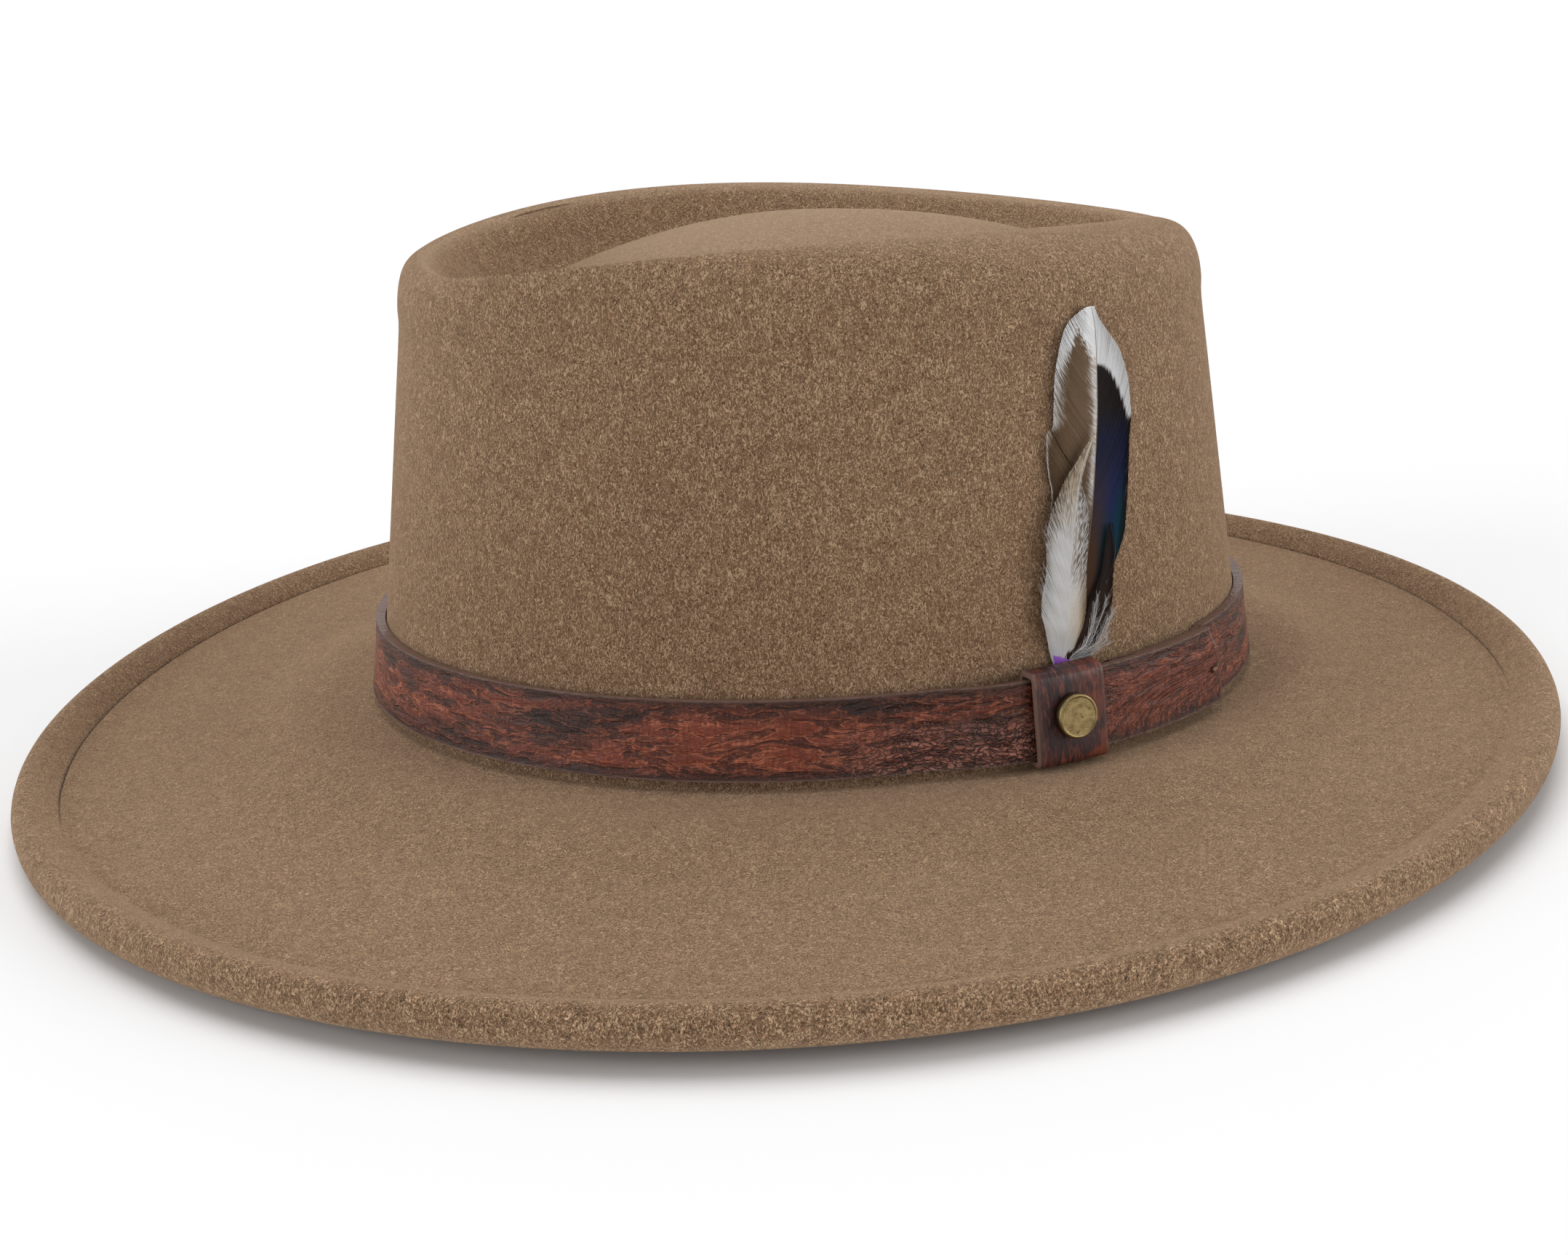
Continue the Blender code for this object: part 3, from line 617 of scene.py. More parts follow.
def band_leather():
    """Pull-up leather: dark skin, warm worn patches, a net of pale creases and painted edges.

    The creases are long along the strap and fine across it, with a painted highlight on their crests
    and painted shade in their valleys. Where the strap is pulled hard, just before the keeper, its
    skin is crackled and shiny, with a painted highlight on its plates.
    """
    dark, mid, vein = srgb(40, 19, 15), srgb(98, 42, 26), srgb(184, 108, 78)
    paint = Paint("band_leather", Specular_IOR_Level=0.35, Coat_Weight=0.16, Coat_Roughness=0.22)
    spot, edge = paint.attribute("strap", "Vector"), paint.attribute("edge")
    along, h, _ = paint.parts(spot)
    cloud = paint.noise(spot, (26.0, 95.0, 1.0), 3.0, 0.55, 0.6)
    swirl = paint.noise(spot, (60.0, 60.0, 1.0), 2.0, 0.5, output=1)
    bent = paint.vector("MULTIPLY_ADD", swirl, (0.006, 0.0045, 0.0), spot)
    # behind the keeper the creases run down across the strap
    low_turn = paint.span(h, 0.0120, 0.0030, 0.0, -1.25)
    fan = paint.node("ShaderNodeVectorRotate", 0, {"rotation_type": "Z_AXIS"}, Vector=bent,
                     Angle=paint.times(low_turn, paint.span(along, 0.008, 0.026)))
    creases = paint.noise(fan, (115.0, 560.0, 1.0), 2.5, 0.55, 0.7)
    small = paint.noise(bent, (390.0, 1180.0, 1.0), 2.0, 0.55, 0.6)
    hatch = paint.noise(spot, (1500.0, 260.0, 1.0), 2.0, 0.6, 0.5)
    middle = paint.times(paint.span(h, 0.0004, 0.0036), paint.span(h, 0.0174, 0.0124))
    handled = paint.math("MAXIMUM", paint.ramp(cloud, (0.38, 0.0), (0.58, 1.0)),
                         paint.span(along, 0.004, 0.012, 0.0, 0.8))
    worn = paint.times(handled, middle)
    tone = paint.mix(worn, dark, mid)
    net = paint.ramp(creases, (0.46, 0.0), (0.49, 1.0), (0.53, 0.0))
    fine_net = paint.ramp(small, (0.44, 0.0), (0.49, 1.0), (0.55, 0.0))
    lines = paint.math("ADD", net, paint.times(fine_net, 0.55))
    # painted highlight on the creases' crests and painted shade in their valleys, following their relief
    ridge = paint.ramp(creases, (0.42, 0.0), (0.56, 1.0))
    light = paint.mix(ridge, (0.24, 0.24, 0.24, 1.0), (0.86, 0.86, 0.86, 1.0))
    tone = paint.mix(0.75, tone, light, "OVERLAY")
    share = paint.times(lines, paint.span(worn, 0.0, 1.0, 0.22, 0.80))
    tone = paint.mix(share, tone, vein)
    low_edge = paint.times(paint.span(h, 0.0075, 0.0020), paint.span(along, 0.008, 0.014))
    tone = paint.mix(paint.span(low_edge, 0.0, 1.0, 0.45, 0.95), tone,
                     paint.ramp(hatch, (0.36, 0.22), (0.64, 0.76)), "OVERLAY")
    rim = paint.math("ADD", paint.span(h, 0.0020, 0.0005), paint.span(h, 0.0154, 0.0169))
    tone = paint.mix(paint.times(rim, 0.55), tone, dark)
    # the crackle: dark cracks round small plates, torn along by the curls, with a painted highlight on the
    # plates
    near = paint.times(paint.span(along, -0.056, -0.034), paint.span(h, 0.0115, 0.0062))
    near = paint.times(near, paint.span(along, -0.004, -0.009))
    near = paint.times(near, paint.span(hatch, 0.2, 0.6, 0.75, 1.0))
    curl = paint.noise(spot, (620.0, 620.0, 1.0), 2.0, 0.6, output=1)
    torn = paint.vector("MULTIPLY_ADD", curl, (0.0030, 0.0016, 0.0), bent)
    torn = paint.vector("MULTIPLY", torn, (620.0, 1150.0, 1.0))
    cells = paint.node("ShaderNodeTexVoronoi", 0, {"feature": "DISTANCE_TO_EDGE"}, Vector=torn,
                       Scale=1.0, Randomness=1.0)
    plate = paint.ramp(cells, (0.01, 0.0), (0.15, 1.0))
    # painted highlight: the plates' faces are pale pink, paler still on the creases' crests
    face = paint.mix(ridge, srgb(104, 56, 44), srgb(190, 130, 112))
    tone = paint.mix(paint.times(near, 0.68), tone, paint.mix(plate, srgb(26, 12, 10), face))
    tone = paint.mix(edge, tone, srgb(116, 88, 77))
    paint.colour(tone)
    pulled = paint.times(paint.span(along, -0.060, -0.030), paint.span(along, 0.004, -0.006))
    paint.rough(paint.span(pulled, 0.0, 1.0, 0.44, 0.20))
    plates = paint.times(plate, near)
    paint.bump((lines, 0.00014), (creases, 0.00065), (plates, 0.00050), (hatch, 0.00010))
    return paint.material


def keeper_leather():
    """Dark skin with a grain that runs up the loop, worn red-brown on one side, and pale worn rims."""
    paint = Paint("keeper_leather", Specular_IOR_Level=0.35, Coat_Weight=0.10, Coat_Roughness=0.35)
    spot, edge = paint.attribute("strap", "Vector"), paint.attribute("edge")
    across = paint.parts(spot)[1]
    streaks = paint.noise(spot, (240.0, 1150.0, 1.0), 3.0, 0.60, 0.5)
    hairlines = paint.noise(spot, (420.0, 3200.0, 1.0), 2.0, 0.6, 0.6)
    cloud = paint.noise(paint.place, 200.0, 3.0, 0.6, 0.4)
    tone = paint.ramp(streaks, (0.34, srgb(30, 16, 16)), (0.50, srgb(68, 36, 33)),
                      (0.66, srgb(122, 70, 54)))
    warm = paint.times(paint.span(across, -0.001, 0.007), paint.ramp(cloud, (0.40, 0.25), (0.60, 1.0)))
    tone = paint.mix(paint.times(warm, 0.65), tone, srgb(132, 66, 40))
    tone = paint.mix(paint.ramp(cloud, (0.36, 0.75), (0.52, 0.0)), tone, srgb(44, 28, 33))
    tone = paint.mix(0.6, tone, paint.ramp(hairlines, (0.32, 0.30), (0.68, 0.72)), "OVERLAY")
    tone = paint.mix(paint.times(edge, 0.85), tone, srgb(122, 96, 86))
    paint.colour(tone)
    paint.rough(paint.span(streaks, 0.3, 0.7, 0.50, 0.34))
    paint.bump((streaks, 0.00014), (hairlines, 0.00007))
    return paint.material


# ---- the trim's frame ---------------------------------------------------------------------------
def direction(x, y, z):
    """A way in the crown's frame, as a unit vector in the hat's frame."""
    return unit(crown(x, y, z) - crown(0.0, 0.0, 0.0))


STUD_TURN = math.radians(STUD_ANGLE)
TRIM_TANGENT = direction(-HEAD_X * math.sin(STUD_TURN), HEAD_Y * math.cos(STUD_TURN), 0.0)
TRIM_NORMAL = direction(HEAD_Y * math.cos(STUD_TURN), HEAD_X * math.sin(STUD_TURN), 0.0)
TRIM_RADIUS = ((HEAD_X * math.sin(STUD_TURN)) ** 2 + (HEAD_Y * math.cos(STUD_TURN)) ** 2) ** 1.5 / (
    HEAD_X * HEAD_Y)


def trim_point(along, off, height):
    """A point beside the stud: along the band, off the felt, and up the wall."""
    along, off, height = np.broadcast_arrays(along, off, height)
    return (wall(STUD_TURN, height) + along[..., None] * TRIM_TANGENT
            + (off - along ** 2 / (2.0 * TRIM_RADIUS))[..., None] * TRIM_NORMAL)


# ---- keeper and stud ----------------------------------------------------------------------------
# the loop's section in mm, as (distance off the felt, height)
KEEPER_OUTSIDE = ((1.6, 8.8), (1.6, 0.4), (2.0, -0.6), (3.0, -1.3), (5.8, -1.3), (6.9, -0.7),
                  (7.4, 0.8), (7.4, 6.0), (7.4, 11.5), (7.4, 16.7), (6.9, 18.2), (5.8, 18.9),
                  (3.0, 18.9), (2.0, 18.2), (1.6, 17.0), (1.6, 9.4))
KEEPER_INSIDE = ((2.5, 9.4), (2.5, 16.8), (2.7, 17.4), (3.1, 17.6), (5.5, 17.6), (5.8, 17.3),
                 (6.0, 16.6), (6.0, 11.5), (6.0, 6.0), (6.0, 1.0), (5.8, 0.2), (5.5, -0.1),
                 (3.1, -0.1), (2.7, 0.0), (2.5, 0.6), (2.5, 8.8))


def keeper(finish):
    """The leather loop, with softly rounded edges."""
    outside = through(np.array(KEEPER_OUTSIDE) * MM, 4)
    inside = through(np.array(KEEPER_INSIDE) * MM, 4)[::-1]
    around = len(outside)
    section, edge, across = [], [], []
    half, soft, skin = KEEPER_W / 2.0, 0.0005, 0.0014
    # across the width: the outer skin, its rounded rims, and the inner skin
    lanes = [(-half + soft * (1 - math.sin(t)), soft * (1 - math.cos(t)))
             for t in np.radians([90.0, 67.0, 45.0, 22.0])]
    lanes += [(x, 0.0) for x in np.linspace(-half + soft, half - soft, 25)]
    lanes += [(-x, d) for x, d in lanes[3::-1]]
    for x, sunk in lanes:
        pull = sunk / skin
        worn = 0.25 if abs(x) > half - 0.0008 else 0.0
        section.append(outside * (1 - pull) + inside * pull)
        across.append(np.full(around, x))
        edge.append(np.full(around, min(1.0, pull * 3.2 + worn)))
    for x in (half, 0.0, -half):
        section.append(inside)
        across.append(np.full(around, x))
        edge.append(np.full(around, 1.0))
    section, across, edge = np.array(section), np.array(across), np.array(edge)
    run = np.cumsum(np.linalg.norm(np.diff(outside, axis=0, prepend=outside[:1]), axis=1))
    run = np.broadcast_to(run, across.shape)
    bow = 0.00012 * noise_field(across * 160.0, run * 130.0, 3.0) * (1.0 - edge)
    grid = trim_point(across, section[..., 0] + bow, section[..., 1])
    rows, columns = across.shape
    faces = grid_faces(rows, columns, around=False, loop=True, ends=True)
    loop = mesh_object("keeper_leather_loop", grid, faces, "keeper", finish,
                       sharp=60.0)
    stamp(loop, "strap", points(run, across, 0.0).reshape(-1, 3))
    stamp(loop, "edge", edge.ravel())
    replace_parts(loop, "keeper_loop")


STUD_MIDDLE = trim_point(0.0, 0.0, STUD_H)
STUD_UP = unit(trim_point(0.0, 0.0, STUD_H + 0.001) - STUD_MIDDLE)
STUD_OUT = unit(np.cross(TRIM_TANGENT, STUD_UP))


def stud(finish):
    """The stud's head: a drum with a turned-over bright rim round a slightly dished face."""
    steps = 96
    turn = turns(steps)
    # radius and distance off the felt in mm, from the drum's foot over its rim to the face's middle
    profile = ((4.0, 7.6), (4.6, 7.7), (4.75, 7.9), (4.75, 8.3), (4.75, 9.0), (4.66, 9.3),
               (4.5, 9.48), (4.32, 9.55), (4.15, 9.48), (4.06, 9.42), (3.9, 9.41),
               (3.0, 9.43), (1.8, 9.45), (0.8, 9.46))
    radius, off = (np.array(profile) * MM).T[..., None, None]
    grid = STUD_MIDDLE + off * STUD_OUT + radius * (
        np.cos(turn)[:, None] * TRIM_TANGENT + np.sin(turn)[:, None] * STUD_UP)
    head = mesh_object("stud_head", grid, grid_faces(len(profile), steps, ends=True), "keeper",
                       finish, sharp=45.0)
    # painted shade on the drum's side wall, and some darkening in the step just inside the rim
    dark = [1.0] * 4 + [0.7, 0.25] + [0.0] * 3 + [0.5] + [0.0] * 4
    stamp(head, "side", np.repeat(dark, steps))
    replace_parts(head, "stud_cap")


def brass_paint():
    """Antique brass: cloudy, spotted and finely scratched, with painted shade on the side of the drum."""
    paint = Paint("antique_brass", Metallic=1.0)
    spots = paint.noise(paint.place, 900.0, 4.0, 0.65, 0.6)
    cloud = paint.noise(paint.place, 260.0, 3.0, 0.6, 0.5)
    scratches = paint.noise(paint.place, (300.0, 300.0, 6000.0), 2.0, 0.5)
    tone = paint.ramp(cloud, (0.30, srgb(122, 106, 72)), (0.50, srgb(158, 140, 98)),
                      (0.72, srgb(184, 166, 122)))
    tone = paint.mix(paint.ramp(spots, (0.30, 0.8), (0.40, 0.0)), tone, srgb(70, 62, 44))
    # painted shade on the side of the drum, read from the side attribute
    paint.colour(paint.mix(paint.times(paint.attribute("side"), 0.85), tone, srgb(52, 42, 30)))
    paint.rough(paint.span(spots, 0.3, 0.7, 0.60, 0.40))
    paint.bump((spots, 0.00006), (scratches, 0.00002))
    return paint.material


# ---- feathers -----------------------------------------------------------------------------------
def line_through(stops, parts=8):
    """A smooth line through listed points, given in millimetres, as (along, height)."""
    return through(stops, parts)


def at_height(line, height):
    """Where a line that climbs the wall is, along the band, at a height."""
    return np.interp(height, line[:, 1], line[:, 0])


def ribbons(centre, width, off, thick):
    """Corners and faces of many thin closed strips in the trim's frame.

    centre is (strips, steps, 2) in mm along the band and up; width, off and thick are (strips, steps).
    """
    strips, steps = width.shape
    ahead = np.gradient(centre, axis=1)
    ahead /= np.maximum(np.linalg.norm(ahead, axis=-1, keepdims=True), 1e-9)
    side = np.stack([ahead[..., 1], -ahead[..., 0]], axis=-1) * width[..., None] / 2.0
    left, right = centre - side, centre + side
    corners = np.stack([
        trim_point(left[..., 0] * MM, off * MM, left[..., 1] * MM),
        trim_point(centre[..., 0] * MM, (off + thick) * MM, centre[..., 1] * MM),
        trim_point(right[..., 0] * MM, off * MM, right[..., 1] * MM)], axis=2)
    faces = []
    for strip in range(strips):
        first = strip * steps * 3
        faces += grid_faces(steps, 3, first=first, ends=True)
    return corners.reshape(-1, 3), faces


class Plume:
    """Strips gathered into one mesh, with a colour at each point."""

    def __init__(self):
        self.corners, self.faces, self.tints = [], [], []
        self.count = 0

    def add(self, centre, width, off, thick, tint):
        corners, faces = ribbons(centre, width, off, thick)
        self.faces += [tuple(k + self.count for k in face) for face in faces]
        self.corners.append(corners)
        self.tints.append(np.repeat(np.asarray(tint, float).reshape(-1, 3), 3, axis=0))
        self.count += len(corners)

    def finish(self, name, slot, paint, node):
        piece = mesh_object(name, np.concatenate(self.corners), self.faces, "feathers", paint,
                            sharp=50.0)
        tint = np.concatenate(self.tints)
        layer = piece.data.attributes.new("tint", "FLOAT_COLOR", "POINT")
        shade = np.concatenate([tint, np.ones((len(tint), 1))], axis=1)
        layer.data.foreach_set("color", shade.astype(np.float32).ravel())
        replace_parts(piece, node)


def blend_tint(share, a, b):
    """A mix of two screen colours at each point."""
    share = clamp(share)[..., None]
    return np.asarray(a, float) * (1 - share) + np.asarray(b, float) * share


def barbs(plume, draw, shaft, edge, low, high, count, lag, lift, tint, side, fray, steps=8, width=1.25,
          bow=0.6):
    """One vane: barbs that leave the shaft between two heights and sweep up to the vane's edge.

    lag is how much higher a barb ends than it starts, lift gives the distance off the felt, and fray
    is how ragged the vane's edge is.
    """
    root = np.linspace(low, high, count)
    room = clamp((high - root) / (1.9 * lag))
    end = root + lag * room * (2.0 - room) * 0.95
    clump = 0.35 * np.sin(root * 2.1 + 1.7 * np.sin(root * 0.7))
    end = np.minimum(end + fray * (draw.normal(0.0, 0.45, count) + clump), high + 0.6)
    start = np.stack([at_height(shaft, root), root], axis=-1)
    stop = np.stack([at_height(edge, end) + side * fray * draw.normal(0.0, 0.22, count), end], axis=-1)
    bend = start + (stop - start) * (bow, 1.0 - bow)
    t = np.linspace(0.0, 1.0, steps)[None, :, None]
    centre = start[:, None] * (1 - t) ** 2 + bend[:, None] * 2 * t * (1 - t) + stop[:, None] * t ** 2
    pitch = (high - low) / count
    share = np.broadcast_to(t[..., 0], (count, steps))
    wide = pitch * width * (1.15 - 0.75 * share ** 2)
    wide = np.maximum(wide, 0.05) * draw.uniform(0.85, 1.15, (count, 1))
    off = lift(centre[..., 0], centre[..., 1]) + 0.05 * draw.normal(0.0, 1.0, (count, 1)) * share
    shade = tint(centre[..., 0], centre[..., 1], share, draw.normal(0.0, 1.0, (count, 1)))
    plume.add(centre, wide, off, np.full_like(wide, 0.10), linear(shade))


def quill(plume, shaft, lift, base, tip, tint, high=0.35):
    """The shaft of a feather, tapering to its tip."""
    centre = shaft[None]
    share = np.linspace(0.0, 1.0, centre.shape[1])[None]
    width = base + (tip - base) * share
    off = lift(centre[..., 0], centre[..., 1]) + 0.02
    shade = np.broadcast_to(np.asarray(tint, float), centre.shape[:2] + (3,))
    plume.add(centre, width, off, width * high + 0.12, linear(shade))


# PAINTED_SHADE_WHITE is the grey of painted shade between the flank feather's barbs
WHITE, PAINTED_SHADE_WHITE, CREAM = (226, 227, 228), (188, 186, 182), (206, 190, 166)
TAUPE, DARK_TAUPE = (108, 87, 66), (78, 61, 47)
NEAR_BLACK, NAVY, INDIGO, GLINT_TEAL = (29, 22, 20), (24, 28, 54), (34, 38, 84), (14, 68, 72)
UMBER, DEEP_UMBER = (74, 50, 33), (30, 20, 18)


def speculum(finish):
    """The tall feather: brown left vane with white edges, dark blue right vane with a white tip and a
    painted teal glint.
    """
    draw = np.random.default_rng(11)
    shaft = line_through([
        (2.4, 12.0), (3.2, 18.6), (5.9, 23.5), (8.3, 29.6), (10.0, 35.5), (11.7, 42.9),
        (13.3, 50.3), (14.5, 57.7), (15.4, 63.7), (16.1, 69.6), (16.6, 78.5), (16.7, 85.9),
        (16.0, 90.2)])
    left = line_through([
        (1.2, 12.0), (1.4, 18.6), (0.6, 26.0), (0.4, 34.0), (1.0, 44.0), (2.7, 53.4), (2.3, 57.2),
        (2.1, 61.0), (2.5, 66.0), (4.1, 67.4), (4.6, 71.1), (5.3, 76.9), (6.4, 81.2), (7.7, 84.8),
        (9.3, 87.5), (11.9, 89.3), (15.5, 90.7)])
    right = line_through([
        (3.6, 12.0), (4.4, 18.6), (9.0, 24.0), (13.5, 29.0), (17.0, 34.5), (19.2, 38.9),
        (21.4, 42.4), (22.7, 48.7), (23.9, 56.2), (24.6, 62.2), (25.4, 66.0), (25.5, 69.0),
        (25.2, 74.3), (23.9, 79.0), (22.3, 82.2), (19.8, 85.3), (17.8, 88.0), (16.6, 90.6)])

    def lift(s, h):
        lean = (np.maximum(h - 20.0, 0.0) / 70.0) ** 2
        return 0.70 + lean + 0.02 * np.abs(s - at_height(shaft, h))

    def left_tint(s, h, share, rand):
        middle = blend_tint((h - 34.0) / 30.0 + 0.10 * rand, DARK_TAUPE, TAUPE)
        from_edge = s - at_height(left, h)
        from_shaft = at_height(shaft, h) - s
        speckle = draw.random(s.shape)
        wide = 0.25 + 2.5 * ease((h - 62.0) / 7.0)
        fringe = 1.0 - clamp((from_edge - 0.12 * wide) / (wide * (0.55 + 0.85 * speckle)))
        band = 1.50 + 0.90 * ease((h - 60.0) / 18.0)
        inner = 1.0 - clamp((from_shaft - band * 0.45) / (band * (0.25 + 0.9 * speckle)))
        inner = inner * clamp((h - 46.0) / 7.0)
        top = clamp((h - 85.0 + 1.7 * np.abs(s - 12.0) + 3.4 * (speckle - 0.5)) / 1.6)
        lower = np.clip((h - 46.0) / 8.0, 0.15, 1.0)
        fringe = fringe * lower * (0.6 + 0.55 * speckle)
        light = np.maximum(np.maximum(fringe, inner * (0.5 + 0.5 * speckle)), top)
        return blend_tint(light, middle, WHITE) - 5.0 * rand[..., None]

    def right_tint(s, h, share, rand):
        across = clamp((s - at_height(shaft, h)) / 8.5)
        border = 78.2 - 12.0 * across ** 2.1
        dark = blend_tint((70.0 - h) / 7.0, NEAR_BLACK, NAVY)
        blue = blend_tint((60.0 - h) / 10.0 + 0.15 * rand, dark, INDIGO)
        # painted glint: a teal sheen painted low on the dark vane, strongest toward its outer part
        painted_glint = clamp((58.0 - h) / 12.0) * clamp((across - 0.55) / 0.35)
        painted_glint = np.maximum(painted_glint, clamp((50.0 - h) / 9.0) * (1 - np.abs(across - 0.52) / 0.45))
        sheen = blend_tint(0.8 * painted_glint + 0.12 * rand * painted_glint, blue, GLINT_TEAL)
        brown = clamp((62.0 - h) / 26.0) * clamp((0.62 - across) / 0.42)
        body = blend_tint(brown * 1.15, sheen, UMBER)
        rim = clamp((across - 0.93) / 0.07) * 0.5
        body = blend_tint(rim, body, NEAR_BLACK)
        tip = (h - border) / 0.4 + 0.2 * rand
        light = WHITE - 9.0 * np.clip(rand, 0, 2)[..., None] * np.ones(3)
        return blend_tint(tip, body, light)

    plume = Plume()
    barbs(plume, draw, shaft, left, 12.0, 90.2, 330, 15.0, lift, left_tint, -1.0, steps=18, fray=0.18)
    barbs(plume, draw, shaft, right, 12.0, 90.2, 330, 19.0, lift, right_tint, 1.0, steps=24, fray=0.10)
    quill(plume, shaft, lift, 0.50, 0.10, (158, 136, 112))
    plume.finish("speculum_feather", "feather_light", finish, "feather_speculum")


def flank(finish):
    """The soft white feather in front, speckled brown on its right."""
    draw = np.random.default_rng(23)
    shaft = line_through([
        (2.6, 6.0), (2.6, 18.6), (3.2, 26.0), (4.3, 34.0), (5.6, 42.0), (7.2, 50.0), (9.3, 57.5),
        (11.6, 62.0), (13.9, 65.2)])
    left = line_through([
        (0.8, 6.0), (0.7, 17.0), (0.3, 19.5), (-0.8, 22.0), (-2.0, 25.5), (-2.8, 29.6),
        (-2.5, 33.1), (-1.1, 37.8), (-0.2, 45.9), (1.3, 50.6), (3.3, 53.7), (5.2, 56.6),
        (7.9, 59.3), (10.4, 61.9), (13.8, 65.3)])
    right = line_through([
        (4.4, 6.0), (4.6, 17.0), (5.0, 19.5), (6.3, 22.9), (7.8, 27.3), (8.4, 30.3), (8.9, 35.5),
        (9.5, 40.7), (10.4, 46.6), (10.4, 51.1), (9.2, 55.2), (10.2, 58.8), (12.0, 62.0),
        (14.0, 65.3)])

    def lift(s, h):
        return 0.72 + 1.98 * ease((h - 18.9) / 8.0) + 0.3 * ease((h - 30.0) / 30.0) + 0.0 * s

    def left_tint(s, h, share, rand):
        # painted shade: barbs greyed at random and in soft bands
        base = blend_tint(0.25 + 0.14 * rand + 0.1 * np.sin(h * 1.3 + s), WHITE, PAINTED_SHADE_WHITE)
        from_edge = s - at_height(left, h)
        speckle = draw.random(s.shape)
        edge = clamp(1.0 - from_edge / 1.6) * clamp((h - 36.0) / 10.0) * (speckle > 0.45)
        base = blend_tint(0.8 * clamp((h - 46.0) / 10.0), base, CREAM)
        fleck = (speckle > 0.62) * clamp((h - 42.0) / 12.0)
        return blend_tint(np.maximum(edge * 0.75, fleck * 0.7), base, TAUPE)

    def right_tint(s, h, share, rand):
        # painted shade: barbs greyed at random
        base = blend_tint(0.25 + 0.14 * rand, WHITE, PAINTED_SHADE_WHITE)
        warm = clamp(1.0 - np.abs(h - 27.0) / 10.0) * share ** 0.7
        base = blend_tint(np.maximum(warm, clamp((h - 55.0) / 5.0) * share), base, CREAM)
        base = blend_tint(clamp((share - 0.62) / 0.3) * warm * 0.9, base, (138, 110, 84))
        across = (s - at_height(shaft, h)) / np.maximum(at_height(right, h) - at_height(shaft, h), 0.4)
        bars = np.sin(h * 5.2 + 2.2 * np.sin(s * 2.6) + 2.0 * rand)
        marks = (bars > 0.0) * clamp((across + 0.1) / 0.35) * clamp((h - 33.0) / 5.0)
        return blend_tint(marks * clamp((62.0 - h) / 5.0) * 0.85, base, TAUPE)

    plume = Plume()
    barbs(plume, draw, shaft, left, 6.5, 64.9, 400, 14.0, lift, left_tint, -1.0, steps=14, fray=0.30,
          bow=0.42, width=1.5)
    barbs(plume, draw, shaft, right, 6.5, 64.9, 340, 13.0, lift, right_tint, 1.0, steps=18, fray=0.30,
          bow=0.45, width=1.5)
    quill(plume, shaft, lift, 0.34, 0.08, (222, 220, 214))
    # loose barbs that stand off the left edge
    count = 16
    root = draw.uniform(31.0, 45.0, count)[:, None]
    step = np.linspace(0.0, 1.0, 6)[None]
    reach, climb = draw.uniform(0.4, 1.3, (count, 1)), draw.uniform(2.0, 5.0, (count, 1))
    strand = np.stack([at_height(left, root) + 0.7 - reach * step ** 1.6, root + climb * step], axis=-1)
    fine = np.broadcast_to(np.linspace(0.09, 0.02, 6), (count, 6))
    shade = np.broadcast_to(linear(WHITE), (count, 6, 3))
    plume.add(strand, fine, lift(strand[..., 0], strand[..., 1]) - 0.3 * step, fine * 0.4, shade)
    plume.finish("flank_feather", "feather_light", finish, "feather_flank")


def covert(finish):
    """The short dark feather at the right."""
    draw = np.random.default_rng(31)
    shaft = line_through([
        (3.0, 12.0), (4.0, 18.6), (7.6, 22.5), (11.2, 27.5), (13.6, 32.5), (15.2, 37.5),
        (16.2, 42.0), (16.8, 45.6)])
    left = line_through([
        (2.0, 12.0), (3.2, 18.6), (6.6, 24.0), (9.8, 30.3), (12.2, 33.2), (13.9, 36.6),
        (15.2, 41.0), (16.6, 45.7)])
    right = line_through([
        (4.2, 12.0), (7.0, 18.6), (11.7, 21.4), (14.4, 24.8), (16.0, 28.4), (16.6, 33.0),
        (17.2, 37.5), (17.3, 41.6), (16.9, 45.8)])

    def lift(s, h):
        return 0.80 + 1.05 * ease((h - 18.9) / 8.0) + 0.0 * s

    def tint(s, h, share, rand):
        base = blend_tint((h - 24.0) / 16.0, UMBER, DEEP_UMBER)
        return blend_tint(0.3 + 0.25 * rand + 0.3 * share, base, DEEP_UMBER)

    plume = Plume()
    barbs(plume, draw, shaft, left, 12.2, 45.2, 130, 8.0, lift, tint, -1.0, fray=0.2)
    barbs(plume, draw, shaft, right, 12.2, 45.2, 130, 10.0, lift, tint, 1.0, fray=0.2)
    quill(plume, shaft, lift, 0.5, 0.10, (52, 36, 30))
    split = line_through([(14.6, 33.0), (17.0, 37.0), (17.8, 41.0), (17.5, 45.4)])
    quill(plume, split, lift, 0.9, 0.08, DEEP_UMBER, high=0.1)
    plume.finish("covert_feather", "feather_dark", finish, "feather_dark")


